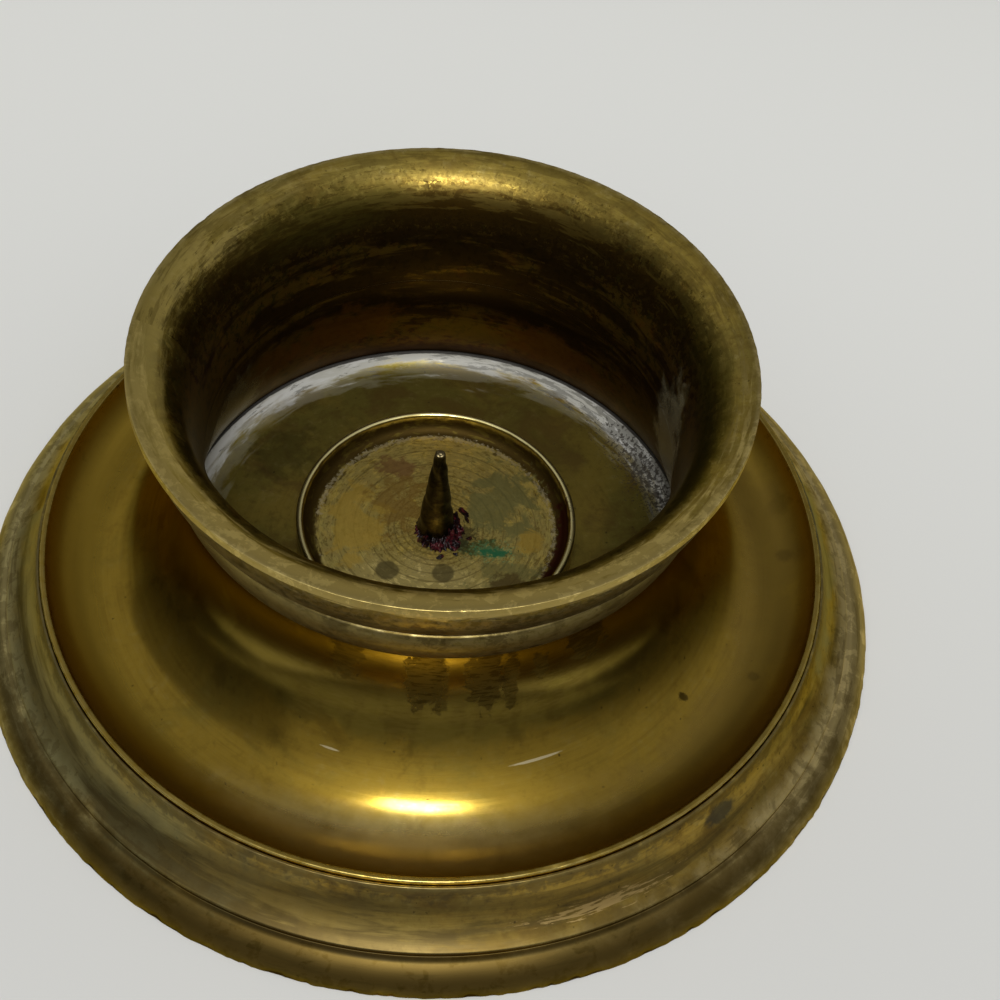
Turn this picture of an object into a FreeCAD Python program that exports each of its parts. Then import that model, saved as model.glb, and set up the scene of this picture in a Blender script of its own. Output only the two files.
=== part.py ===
import FreeCAD, Part
import math
import os

# Pricket candle stand in turned cast brass, in millimetres.
# The stand's axis is Z, and the table it stands on is the plane Z = 0.
# Radii run outwards from the throat, and heights run up from the table, so each piece seats on the next.

# Fits shared by the pieces
seat_clearance = 0.1

# Throat and neck
throat_radius = 56.0
neck_wall = 2.6
neck_height = 36.7
spigot_wall = 1.3
spigot_height = 3.6
wall_spread = 9.9

# Drip tray
trumpet_spread = 27.7
gutter_radius = 18.0
gutter_rise_width = 10.7
valley_depth = 7.6
tray_wall = 3.5
edge_band_width = 1.4
edge_round = 0.5
flange_depth = 3.2
flange_overhang = 1.6

# Foot ring
bead_width = 5.6
bead_height = 7.4
bead_rise = 1.0
foot_edge_height = 0.8
quirk_width = 1.3
quirk_drop = 1.2
cavetto_width = 9.0
cavetto_height = 13.4
cavetto_hollow = 2.1
ring_top_land = 0.8
ring_top_drop = 1.3
ring_bore_depth = 6.5
foot_rim_width = 6.0
ring_underside_sag = 1.0

# Flared collar
collar_height = 34.7
flare_reach = 15.4
flare_width = 11.4
flare_drop = 9.9
lip_edge_height = 2.4
lip_round = 0.5
lip_quirk = 0.8
collar_band_step = 0.7
collar_band_height = 1.6
lower_bead_step = 0.6
lower_bead_width = 4.3
lower_bead_height = 13.0
lower_bead_bulge = 1.8
bead_groove_depth = 0.6
bead_groove_height = 1.4
upper_bead_bulge = 2.0

# Wax pan
pan_rim_rise = 3.9
shoulder_width = 1.1
seat_depth = 5.2
pan_edge_gap = 0.4
cove_width = 6.5
cove_height = 3.6
pan_floor = 2.0

# Candle cup
cup_radius = 35.2
cup_rim_thickness = 1.7
cup_rim_height = 5.1
cup_cove_radius = 3.2
cup_floor_rise = 7.5
cup_floor = 3.0
cup_skirt_wall = 2.6
cup_boss_radius = 9.0

# Pricket, with its washer and nut
spike_seat_depth = 0.8
spike_height = 29.0
spike_radius = 4.9
spike_tip_radius = 1.35
spike_tip_round = 0.4
spike_tip_crown = 0.1
stud_radius = 3.0
stud_projection = 1.5
stud_chamfer = 0.5
washer_radius = 9.0
washer_thickness = 1.6
nut_across_flats = 10.0
nut_height = 5.0
nut_chamfer = 0.6
nut_sides = 6

# Radii worked out from the sizes above, from the neck outwards
neck_radius = throat_radius + neck_wall
valley_radius = neck_radius + trumpet_spread
tray_rim_radius = valley_radius + gutter_rise_width
tray_radius = tray_rim_radius + edge_band_width
tray_spigot_radius = tray_radius - flange_overhang
ring_land_radius = tray_radius + seat_clearance + ring_top_land
cavetto_foot_radius = ring_land_radius + cavetto_width
bead_top_radius = cavetto_foot_radius + quirk_width
foot_radius = bead_top_radius + bead_width
lip_radius = throat_radius + flare_reach
spigot_radius = throat_radius + spigot_wall
shoulder_radius = throat_radius + wall_spread
pan_radius = shoulder_radius + shoulder_width

# Heights worked out from the sizes above, from the table up
cavetto_foot_z = bead_height + quirk_drop
ring_top_z = cavetto_foot_z + cavetto_height
tray_edge_z = ring_top_z + ring_top_drop
ledge_z = tray_edge_z - flange_depth
valley_z = tray_edge_z - valley_depth
neck_top_z = valley_z + neck_height
spigot_top_z = neck_top_z + spigot_height
lip_z = neck_top_z + collar_height
pan_rim_z = valley_z + pan_rim_rise
pan_floor_z = pan_rim_z - cove_height
pan_base_z = pan_floor_z - pan_floor
cup_floor_z = pan_floor_z + cup_floor_rise
spike_seat_z = cup_floor_z - spike_seat_depth
washer_base_z = pan_base_z - washer_thickness
nut_base_z = washer_base_z - nut_height

# Bores that the stud passes through
stud_bore_radius = stud_radius + seat_clearance


class Outline:
    """Half section of a turned piece in the plane of X and Z, drawn edge by edge."""

    def __init__(self, radius, height):
        self.start = FreeCAD.Vector(radius, 0, height)
        self.here = self.start
        self.edges = []

    def line(self, radius, height):
        """Straight edge to the given radius and height."""
        end = FreeCAD.Vector(radius, 0, height)
        self.edges.append(Part.LineSegment(self.here, end).toShape())
        self.here = end

    def arc(self, middle, radius, height):
        """Round edge through the point middle to the given radius and height."""
        end = FreeCAD.Vector(radius, 0, height)
        self.edges.append(Part.Arc(self.here, middle, end).toShape())
        self.here = end

    def arc_about(self, centre, radius, height):
        """Round edge about the point centre, the short way to the given radius and height."""
        end = FreeCAD.Vector(radius, 0, height)
        spoke = (self.here - centre) + (end - centre)
        middle = centre + spoke * ((self.here - centre).Length / spoke.Length)
        self.arc(middle, radius, height)

    def bulge(self, radius, height, rise):
        """Round edge whose middle stands off its chord by rise, to the left of the way it runs."""
        end = FreeCAD.Vector(radius, 0, height)
        chord = end - self.here
        left = FreeCAD.Vector(-chord.z, 0, chord.x).normalize()
        self.arc((self.here + end) * 0.5 + left * rise, radius, height)

    def solid(self):
        """Close the section and turn it round the axis."""
        self.line(self.start.x, self.start.z)
        face = Part.Face(Part.Wire(self.edges))
        return face.revolve(FreeCAD.Vector(0, 0, 0), FreeCAD.Vector(0, 0, 1), 360)


def point(radius, height):
    """Point of the section at a radius and a height."""
    return FreeCAD.Vector(radius, 0, height)


def upright_arc_radius(width, height):
    """Radius of an arc that leaves upright and moves sideways by width over height."""
    return (width ** 2 + height ** 2) / (2 * width)


def trumpet_arc():
    """Centre of the neck's outer arc and the point where it meets the gutter's arc.

    The arc is upright at the top of the neck and touches the gutter's arc from outside, so the distance
    between the two centres is the difference of their radii.
    """
    gutter_centre = point(valley_radius, valley_z + gutter_radius)
    fall = neck_top_z - gutter_centre.z
    reach = trumpet_spread - gutter_radius
    trumpet_radius = (trumpet_spread ** 2 + fall ** 2 - gutter_radius ** 2) / (2 * reach)
    centre = point(neck_radius + trumpet_radius, neck_top_z)
    touch = gutter_centre + (gutter_centre - centre).normalize() * gutter_radius
    return centre, gutter_centre, touch


def circle_radius_at(centre, radius, height):
    """Radius from the stand's axis at which a circle of the section crosses a height, on the axis side."""
    return centre.x - math.sqrt(radius ** 2 - (centre.z - height) ** 2)


def circle_height_at(centre, radius, distance):
    """Height at which a circle of the section crosses a distance from the axis, on its lower side."""
    return centre.z - math.sqrt(radius ** 2 - (centre.x - distance) ** 2)


def make_foot_ring():
    """Outer ring with its foot bead, quirk, cavetto and the rebate that carries the tray."""
    bore_radius = tray_spigot_radius + seat_clearance
    rebate_radius = tray_radius + seat_clearance
    bore_base_z = ledge_z - ring_bore_depth
    section = Outline(bore_radius, ledge_z)
    section.line(rebate_radius, ledge_z)
    section.line(rebate_radius, ring_top_z)
    section.line(ring_land_radius, ring_top_z)
    section.bulge(cavetto_foot_radius, cavetto_foot_z, -cavetto_hollow)
    section.line(cavetto_foot_radius, bead_height)
    section.line(bead_top_radius, bead_height)
    section.bulge(foot_radius, foot_edge_height, bead_rise)
    section.line(foot_radius, 0)
    section.line(foot_radius - foot_rim_width, 0)
    section.bulge(bore_radius, bore_base_z, -ring_underside_sag)
    return section.solid()


def make_dish_neck():
    """Drip tray and trumpet neck, with the collar's spigot on top and the pan's seat inside."""
    trumpet_centre, gutter_centre, touch = trumpet_arc()
    rise_radius = upright_arc_radius(valley_depth, gutter_rise_width)
    rise_centre = point(valley_radius, valley_z + rise_radius)
    under_rise = rise_radius + tray_wall
    under_gutter = gutter_radius + tray_wall
    land_z = pan_rim_z - seat_depth
    land_radius = circle_radius_at(gutter_centre, under_gutter, land_z)
    spigot_base_z = circle_height_at(rise_centre, under_rise, tray_spigot_radius)
    wall_height = spigot_top_z - pan_rim_z
    wall_radius = upright_arc_radius(wall_spread, wall_height)
    wall_centre = point(throat_radius + wall_radius, spigot_top_z)
    section = Outline(spigot_radius, spigot_top_z)
    section.line(spigot_radius, neck_top_z)
    section.line(neck_radius, neck_top_z)
    section.arc_about(trumpet_centre, touch.x, touch.z)
    section.arc_about(gutter_centre, valley_radius, valley_z)
    section.arc_about(rise_centre, tray_rim_radius, tray_edge_z)
    section.line(tray_radius - edge_round, tray_edge_z)
    corner = point(tray_radius - edge_round, tray_edge_z - edge_round)
    section.arc_about(corner, tray_radius, corner.z)
    section.line(tray_radius, ledge_z)
    section.line(tray_spigot_radius, ledge_z)
    section.line(tray_spigot_radius, spigot_base_z)
    section.arc_about(rise_centre, valley_radius, valley_z - tray_wall)
    section.arc_about(gutter_centre, land_radius, land_z)
    section.line(pan_radius + seat_clearance, land_z)
    section.line(pan_radius + seat_clearance, pan_rim_z)
    section.line(shoulder_radius, pan_rim_z)
    section.arc_about(wall_centre, throat_radius, spigot_top_z)
    return section.solid()


def make_flared_collar():
    """Collar with its flared lip and two beads, seated over the neck's spigot."""
    recess_radius = spigot_radius + seat_clearance
    band_radius = neck_radius + collar_band_step
    band_top_z = neck_top_z + collar_band_height
    lower_bead_radius = band_radius + lower_bead_step
    groove_radius = lower_bead_radius + lower_bead_width
    groove_base_z = band_top_z + lower_bead_height
    groove_top_z = groove_base_z + bead_groove_height
    groove_z = (groove_base_z + groove_top_z) / 2
    lip_base_z = lip_z - lip_edge_height
    lip_inner_radius = lip_radius - lip_round
    break_radius = lip_inner_radius - flare_width
    break_z = lip_z - flare_drop
    bell_radius = upright_arc_radius(break_radius - throat_radius, break_z - spigot_top_z)
    bell_centre = point(throat_radius + bell_radius, spigot_top_z)
    # The lip's arc carries on where the bell's arc ends, so its centre lies on the same spoke.
    spoke = (bell_centre - point(break_radius, break_z)).normalize()
    chord = point(lip_inner_radius, lip_z) - point(break_radius, break_z)
    flare_radius = chord.dot(chord) / (2 * chord.dot(spoke))
    flare_centre = point(break_radius, break_z) + spoke * flare_radius
    section = Outline(throat_radius, spigot_top_z)
    section.arc_about(bell_centre, break_radius, break_z)
    section.arc_about(flare_centre, lip_inner_radius, lip_z)
    section.arc_about(point(lip_inner_radius, lip_z - lip_round), lip_radius, lip_z - lip_round)
    section.line(lip_radius, lip_base_z)
    section.line(lip_radius - lip_quirk, lip_base_z)
    section.bulge(groove_radius, groove_top_z, upper_bead_bulge)
    section.line(groove_radius - bead_groove_depth, groove_z)
    section.line(groove_radius, groove_base_z)
    section.bulge(lower_bead_radius, band_top_z, lower_bead_bulge)
    section.line(band_radius, band_top_z)
    section.line(band_radius, neck_top_z)
    section.line(recess_radius, neck_top_z)
    section.line(recess_radius, spigot_top_z)
    return section.solid()


def make_wax_pan():
    """Pan whose coved rim seats from below under the neck's shoulder."""
    rim_radius = shoulder_radius - pan_edge_gap
    cove_foot_radius = rim_radius - cove_width
    cove_radius = upright_arc_radius(cove_height, cove_width)
    cove_centre = point(cove_foot_radius, pan_floor_z + cove_radius)
    section = Outline(stud_bore_radius, pan_floor_z)
    section.line(cove_foot_radius, pan_floor_z)
    section.arc_about(cove_centre, rim_radius, pan_rim_z)
    section.line(pan_radius, pan_rim_z)
    section.line(pan_radius, pan_base_z)
    section.line(stud_bore_radius, pan_base_z)
    return section.solid()


def make_candle_cup():
    """Shallow candle seat with a thin rounded rim, on a skirt and a middle boss bored for the spike."""
    rim_round = cup_rim_thickness / 2
    wall_radius = cup_radius - cup_rim_thickness
    cove_foot_radius = wall_radius - cup_cove_radius
    rim_centre_z = cup_floor_z + cup_rim_height - rim_round
    ceiling_z = cup_floor_z - cup_floor
    skirt_radius = cup_radius - cup_skirt_wall
    spike_bore_radius = spike_radius + seat_clearance
    section = Outline(spike_bore_radius, cup_floor_z)
    section.line(cove_foot_radius, cup_floor_z)
    cove_centre = point(cove_foot_radius, cup_floor_z + cup_cove_radius)
    section.arc_about(cove_centre, wall_radius, cove_centre.z)
    section.line(wall_radius, rim_centre_z)
    section.arc(point(wall_radius + rim_round, rim_centre_z + rim_round), cup_radius, rim_centre_z)
    section.line(cup_radius, pan_floor_z)
    section.line(skirt_radius, pan_floor_z)
    section.line(skirt_radius, ceiling_z)
    section.line(cup_boss_radius, ceiling_z)
    section.line(cup_boss_radius, pan_floor_z)
    section.line(stud_bore_radius, pan_floor_z)
    section.line(stud_bore_radius, spike_seat_z)
    section.line(spike_bore_radius, spike_seat_z)
    return section.solid()


def make_pricket():
    """Tapered spike let into the cup's floor, with the stud that holds cup and pan together."""
    tip_z = cup_floor_z + spike_height
    stud_base_z = nut_base_z - stud_projection
    slant = point(spike_tip_radius - spike_radius, spike_height).normalize()
    shoulder = point(spike_tip_radius, tip_z) - slant * spike_tip_round
    section = Outline(0, tip_z)
    section.line(0, stud_base_z)
    section.line(stud_radius - stud_chamfer, stud_base_z)
    section.line(stud_radius, stud_base_z + stud_chamfer)
    section.line(stud_radius, spike_seat_z)
    section.line(spike_radius, spike_seat_z)
    section.line(spike_radius, cup_floor_z)
    section.line(shoulder.x, shoulder.z)
    section.bulge(spike_tip_radius - spike_tip_round, tip_z, -spike_tip_crown)
    return section.solid()


def make_clamp_washer():
    """Plain round washer between the pan and the nut."""
    section = Outline(stud_bore_radius, pan_base_z)
    section.line(washer_radius, pan_base_z)
    section.line(washer_radius, washer_base_z)
    section.line(stud_bore_radius, washer_base_z)
    return section.solid()


def make_clamp_nut():
    """Hexagon nut with its corners chamfered at both faces."""
    corner_radius = nut_across_flats / (2 * math.cos(math.pi / nut_sides))
    corners = []
    for side in range(nut_sides + 1):
        turn = FreeCAD.Rotation(FreeCAD.Vector(0, 0, 1), math.degrees(2 * math.pi * side / nut_sides))
        corners.append(turn.multVec(FreeCAD.Vector(corner_radius, 0, nut_base_z)))
    prism = Part.Face(Part.makePolygon(corners)).extrude(FreeCAD.Vector(0, 0, nut_height))
    flat_radius = corner_radius - nut_chamfer
    chamfers = Outline(stud_bore_radius, nut_base_z)
    chamfers.line(flat_radius, nut_base_z)
    chamfers.line(corner_radius, nut_base_z + nut_chamfer / 2)
    chamfers.line(corner_radius, washer_base_z - nut_chamfer / 2)
    chamfers.line(flat_radius, washer_base_z)
    chamfers.line(stud_bore_radius, washer_base_z)
    return prism.common(chamfers.solid())


def main():
    """Build each piece and write it under its own name."""
    pieces = {
        "foot_ring": make_foot_ring(),
        "dish_neck": make_dish_neck(),
        "flared_collar": make_flared_collar(),
        "wax_pan": make_wax_pan(),
        "candle_cup": make_candle_cup(),
        "pricket": make_pricket(),
        "clamp_washer": make_clamp_washer(),
        "clamp_nut": make_clamp_nut(),
    }
    os.makedirs("parts", exist_ok=True)
    for name, shape in pieces.items():
        print(f"{name}: valid {shape.isValid()}, solids {len(shape.Solids)}, volume {shape.Volume:.0f}")
        shape.exportStep(os.path.join("parts", name + ".step"))


main()
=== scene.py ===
import logging
import math
from dataclasses import dataclass
from enum import Enum
from typing import Any, Callable, Optional, Sequence

import bpy
import numpy as np
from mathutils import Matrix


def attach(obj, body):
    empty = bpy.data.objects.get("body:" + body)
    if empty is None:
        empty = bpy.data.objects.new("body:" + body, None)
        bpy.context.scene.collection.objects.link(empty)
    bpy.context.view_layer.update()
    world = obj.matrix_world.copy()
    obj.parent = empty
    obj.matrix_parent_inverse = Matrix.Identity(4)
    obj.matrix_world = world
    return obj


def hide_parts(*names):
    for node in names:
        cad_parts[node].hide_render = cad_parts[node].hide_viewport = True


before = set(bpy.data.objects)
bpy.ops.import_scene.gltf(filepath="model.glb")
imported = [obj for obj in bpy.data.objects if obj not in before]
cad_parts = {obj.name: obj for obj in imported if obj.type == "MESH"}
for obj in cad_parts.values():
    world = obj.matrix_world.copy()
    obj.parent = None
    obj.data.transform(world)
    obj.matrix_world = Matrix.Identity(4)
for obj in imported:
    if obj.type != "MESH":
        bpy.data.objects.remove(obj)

logging.basicConfig(level=logging.INFO, format="%(message)s")
log = logging.getLogger("pricket_stand")

MM = 0.001
TURN = 2 * math.pi
PHASE = 6.28
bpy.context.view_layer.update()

Point = tuple[float, float]
Place = tuple[float, float, float]
Colour = tuple[float, float, float]


class Slot(str, Enum):
    """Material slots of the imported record."""

    CAST = "cast_brass"
    PAN = "pan_brass"
    SPIKE = "spike_brass"
    STEEL = "fastener_steel"


@dataclass(frozen=True)
class Datums:
    """Radii and heights, in millimetres, at which the turned pieces meet."""

    throat_radius: float = 56.0
    spigot_radius: float = 57.3
    neck_radius: float = 58.6
    shoulder_radius: float = 65.9
    pan_radius: float = 67.0
    lip_radius: float = 71.4
    valley_radius: float = 86.3
    tray_spigot_radius: float = 96.8
    tray_rim_radius: float = 97.0
    tray_radius: float = 98.4
    ring_land_radius: float = 99.3
    fit: float = 0.1
    pan_base_z: float = 14.0
    valley_z: float = 15.7
    pan_floor_z: float = 16.0
    pan_rim_z: float = 19.6
    ledge_z: float = 20.1
    ring_top_z: float = 22.0
    spike_seat_z: float = 22.7
    tray_edge_z: float = 23.3
    cup_floor_z: float = 23.5
    neck_top_z: float = 52.4
    spigot_top_z: float = 56.0
    lip_z: float = 87.1


DATUMS = Datums()


# ---------------------------------------------------------------- turned sections

@dataclass
class Stretch:
    """One smooth stretch of a section: a straight edge, or an arc where it has a centre."""

    start: np.ndarray
    end: np.ndarray
    centre: Optional[np.ndarray]
    step: float
    soft: float
    under: float

    def length(self) -> float:
        """Length of the stretch in millimetres."""
        if self.centre is None:
            return float(np.linalg.norm(self.end - self.start))
        return float(np.linalg.norm(self.start - self.centre)) * abs(self._turn())

    def _turn(self) -> float:
        """Signed angle that an arc turns through, the short way."""
        a, b = self.start - self.centre, self.end - self.centre
        return math.atan2(a[0] * b[1] - a[1] * b[0], float(a @ b))

    def at(self, share: np.ndarray) -> np.ndarray:
        """Points at shares of the stretch: on the chord, or turned about the centre by a share of its angle."""
        share = np.asarray(share, float)
        if self.centre is None:
            return self.start + share[:, None] * (self.end - self.start)
        spoke, angle = self.start - self.centre, self._turn() * share
        turned = np.stack([spoke[0] * np.cos(angle) - spoke[1] * np.sin(angle),
                           spoke[0] * np.sin(angle) + spoke[1] * np.cos(angle)], 1)
        return self.centre + turned

    def heading(self, share: float) -> np.ndarray:
        """Unit direction of travel at a share of the stretch."""
        if self.centre is None:
            way = self.end - self.start
        else:
            spoke = self.at(np.array([share]))[0] - self.centre
            way = np.array([-spoke[1], spoke[0]]) * math.copysign(1.0, self._turn())
        return way / np.linalg.norm(way)


@dataclass
class Outline:
    """Sampled half section: points in millimetres, path length, and marks for arrises, hollows and underside."""

    points: np.ndarray
    along: np.ndarray
    arris: np.ndarray
    hollow: np.ndarray
    under: np.ndarray
    closed: bool


class Section:
    """Half section of a turned piece, drawn edge by edge with radius to the right and height up."""

    ARRIS_REACH = 0.55
    HOLLOW_REACH = 0.45
    SUPPORT = 0.12
    PLAIN_EASE = 0.11
    LEAST_TURN = 0.08
    EASE_SHARE = 0.42

    def __init__(self, radius: float, height: float, step: float = 1.0, soft: float = 0.22) -> None:
        """Start the section at a point.

        Args:
            radius: distance from the axis, in millimetres.
            height: height over the table, in millimetres.
            step: longest distance between the points sampled along it.
            soft: how far each corner is eased back.
        """
        self.start = np.array([radius, height], float)
        self.here = self.start
        self.step, self.soft, self.under = step, soft, 0.0
        self.stretches: list[Stretch] = []

    def _add(self, end: Point, centre: Optional[Point], soft: Optional[float]) -> None:
        """Add one stretch that ends in a corner eased by soft."""
        finish = np.array(end, float)
        middle = None if centre is None else np.array(centre, float)
        ease = self.soft if soft is None else soft
        self.stretches.append(Stretch(self.here, finish, middle, self.step, ease, self.under))
        self.here = finish

    def line(self, radius: float, height: float, soft: Optional[float] = None) -> None:
        """Straight edge to a radius and a height."""
        self._add((radius, height), None, soft)

    def lines(self, *edges: tuple[float, ...]) -> None:
        """Straight edges one after another, each to a radius and a height, with how far it is eased if given."""
        for edge in edges:
            self.line(*edge)

    def arc(self, centre: Point, radius: float, height: float, soft: Optional[float] = None) -> None:
        """Arc about a centre, the short way to a radius and a height."""
        self._add((radius, height), centre, soft)

    def bulge(self, radius: float, height: float, rise: float, soft: Optional[float] = None) -> None:
        """Arc whose middle stands off its chord by rise, to the left of the way it runs."""
        chord = np.array([radius, height]) - self.here
        half = np.linalg.norm(chord) / 2
        left = np.array([-chord[1], chord[0]]) / (2 * half)
        reach = (half ** 2 - rise ** 2) / (2 * rise)
        centre = self.here + chord / 2 - left * reach
        self._add((radius, height), (centre[0], centre[1]), soft)

    def _corners(self, closed: bool) -> tuple[np.ndarray, np.ndarray]:
        """Turn of each corner in radians, and how far the corner is eased back."""
        runs, count = self.stretches, len(self.stretches)
        turns, eases = np.zeros(count), np.zeros(count)
        for index in range(count if closed else count - 1):
            run, after = runs[index], runs[(index + 1) % count]
            a, b = run.heading(1.0), after.heading(0.0)
            turns[index] = math.atan2(a[0] * b[1] - a[1] * b[0], float(a @ b))
            if abs(turns[index]) > self.LEAST_TURN:
                eases[index] = min(run.soft, self.EASE_SHARE * run.length(), self.EASE_SHARE * after.length())
        return turns, eases

    def _walked(self, eases: np.ndarray) -> tuple[np.ndarray, np.ndarray, np.ndarray]:
        """Points with their marks for the underside, and the length travelled to each corner.

        A corner of two headings that differ becomes the curve (1-t)^2 A + 2t(1-t) C + t^2 B, where C is the
        corner and A and B lie on its two stretches, eased back from it.
        """
        runs = self.stretches
        points, corner_at, under = [], [], []
        travelled = 0.0
        t = np.array([0.25, 0.5, 0.75])[:, None]
        for index, run in enumerate(runs):
            length = run.length()
            first, last = eases[index - 1] / length, 1 - eases[index] / length
            shares = np.linspace(first, last, max(2, math.ceil(length * (last - first) / run.step) + 1))
            brace = self.SUPPORT / length
            if last - first > 4 * brace:
                shares = np.sort(np.concatenate([shares, [first + brace, last - brace]]))
            points.append(run.at(shares))
            if eases[index] > 0:
                after = runs[(index + 1) % len(runs)]
                a, b = points[-1][-1], after.at(np.array([eases[index] / after.length()]))[0]
                points.append((1 - t) ** 2 * a + 2 * t * (1 - t) * run.end + t ** 2 * b)
            under.append(np.full(sum(map(len, points)) - sum(map(len, under)), run.under))
            travelled += length
            corner_at.append(travelled)
        return np.concatenate(points), np.concatenate(under), np.array(corner_at)

    def sampled(self, closed: bool = True) -> Outline:
        """Sample the section, with a quadratic curve in place of each corner.

        Args:
            closed: whether the last edge comes back to the start; an open section ends on the axis.

        Returns:
            The sampled outline, anticlockwise where it is closed.
        """
        if closed and np.linalg.norm(self.start - self.here) > 1e-6:
            self.line(float(self.start[0]), float(self.start[1]))
        turns, eases = self._corners(closed)
        path, marks, corner_at = self._walked(eases)
        keep = np.concatenate([[True], np.linalg.norm(np.diff(path, axis=0), axis=1) > 1e-4])
        path, marks = path[keep], marks[keep]
        along = np.concatenate([[0], np.cumsum(np.linalg.norm(np.diff(path, axis=0), axis=1))])
        total = along[-1] + (np.linalg.norm(path[0] - path[-1]) if closed else 0)
        nexts = np.roll(path, -1, 0)
        clockwise = closed and float((path[:, 0] * nexts[:, 1] - nexts[:, 0] * path[:, 1]).sum()) < 0
        turns = -turns if clockwise else turns
        gap = np.abs(along[:, None] - corner_at * (total / corner_at[-1]))
        gap = np.minimum(gap, total - gap) if closed else gap
        keen = np.clip(np.abs(turns) / (math.pi / 2), 0, 1) * (eases > self.PLAIN_EASE)
        arris = ((turns > self.LEAST_TURN) * keen * np.exp(-(gap / self.ARRIS_REACH) ** 2)).max(1)
        hollow = ((turns < -self.LEAST_TURN) * keen * np.exp(-(gap / self.HOLLOW_REACH) ** 2)).max(1)
        way = slice(None, None, -1) if clockwise else slice(None)
        return Outline(path[way], along[way], arris[way], hollow[way], marks[way], closed)


def new_object(name: str, verts: np.ndarray, faces: list[np.ndarray]) -> bpy.types.Object:
    """Make a smooth-shaded mesh object from arrays.

    Args:
        name: the object's name.
        verts: vertices in metres.
        faces: arrays of faces, each of one vertex count.

    Returns:
        The object, linked into the scene.
    """
    mesh = bpy.data.meshes.new(name)
    corners = np.concatenate([f.ravel() for f in faces]).astype(np.int32)
    sizes = np.concatenate([np.full(len(f), f.shape[1]) for f in faces]).astype(np.int32)
    starts = np.concatenate([[0], np.cumsum(sizes)[:-1]]).astype(np.int32)
    mesh.vertices.add(len(verts))
    mesh.vertices.foreach_set("co", verts.astype(np.float32).ravel())
    mesh.loops.add(len(corners))
    mesh.loops.foreach_set("vertex_index", corners)
    mesh.polygons.add(len(sizes))
    mesh.polygons.foreach_set("loop_start", starts)
    mesh.polygons.foreach_set("use_smooth", np.ones(len(sizes), bool))
    mesh.update(calc_edges=True)
    mesh.validate()
    obj = bpy.data.objects.new(name, mesh)
    bpy.context.scene.collection.objects.link(obj)
    return obj


def add_mark(obj: bpy.types.Object, name: str, values: np.ndarray) -> None:
    """Store one number or one vector per vertex under a name that the materials read."""
    kind, key = ("FLOAT_VECTOR", "vector") if values.ndim == 2 else ("FLOAT", "value")
    layer = obj.data.attributes.new(name, kind, "POINT")
    layer.data.foreach_set(key, values.astype(np.float32).ravel())


def round_quads(lower: np.ndarray, upper: np.ndarray) -> np.ndarray:
    """Quads between rows of vertex numbers and the rows after them, closed round the axis."""
    return np.stack([lower, np.roll(lower, -1, 1), np.roll(upper, -1, 1), upper], -1).reshape(-1, 4)


def end_fans(index: np.ndarray, first: int) -> list[np.ndarray]:
    """Triangles from the outer rows of vertex numbers to two end points, numbered first and first + 1."""
    bottom, top = index[0], index[-1]
    return [np.stack([np.full(len(bottom), first), np.roll(bottom, -1), bottom], -1),
            np.stack([top, np.roll(top, -1), np.full(len(top), first + 1)], -1)]


def turned_away(angle: np.ndarray, degrees: float) -> np.ndarray:
    """Angles measured from an angle in degrees, the short way, in radians."""
    return np.mod(angle - math.radians(degrees) + math.pi, TURN) - math.pi


def turn(piece: "TurnedPiece") -> bpy.types.Object:
    """Turn a piece's outline round the Z axis.

    A vertex lies at (r cos a, r sin a, z), where r and z come from the outline and a from the segment. The wear
    moves it inwards along the section's normal, which is (dz, -dr) over the length of the step.

    Args:
        piece: gives the outline, the wear and the steps round the axis; an open outline starts and ends on it.

    Returns:
        The turned object.
    """
    outline, segments = piece.outline(), piece.segments
    angle = np.arange(segments) * (TURN / segments)
    path = outline.points
    if outline.closed:
        step = np.roll(path, -1, 0) - np.roll(path, 1, 0)
    else:
        step = np.gradient(path, axis=0)
    normal = np.stack([step[:, 1], -step[:, 0]], 1)
    normal /= np.linalg.norm(normal, axis=1)[:, None]
    radius = np.repeat(path[:, :1], segments, 1)
    height = np.repeat(path[:, 1:], segments, 1)
    depth = piece.wear(radius, height, np.broadcast_to(angle, radius.shape))
    radius = radius - normal[:, :1] * depth
    height = height - normal[:, 1:] * depth
    rows = np.stack([radius * np.cos(angle), radius * np.sin(angle), height], -1)
    marks = {key: np.repeat(value[:, None], segments, 1) for key, value in
             (("arris", outline.arris), ("hollow", outline.hollow), ("under", outline.under),
              ("facing", normal[:, 0]))}
    marks["turning"] = np.stack([np.repeat(outline.along[:, None], segments, 1),
                                 np.broadcast_to(np.cos(angle), radius.shape),
                                 np.broadcast_to(np.sin(angle), radius.shape)], -1)
    inner = slice(None) if outline.closed else slice(1, -1)
    grid = rows[inner]
    count = len(grid)
    index = np.arange(count * segments).reshape(count, segments)
    lower = index if outline.closed else index[:-1]
    upper = np.roll(index, -1, 0) if outline.closed else index[1:]
    faces = [round_quads(lower, upper)]
    verts = grid.reshape(-1, 3)
    flat = {key: value[inner].reshape((-1,) + value.shape[2:]) for key, value in marks.items()}
    if not outline.closed:
        verts = np.concatenate([verts, rows[:1, 0], rows[-1:, 0]])
        flat = {key: np.concatenate([flat[key], marks[key][:1, 0], marks[key][-1:, 0]]) for key in flat}
        faces += end_fans(index, count * segments)
    obj = new_object(piece.name, verts * MM, faces)
    for key, value in flat.items():
        add_mark(obj, key, value)
    return obj


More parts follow.
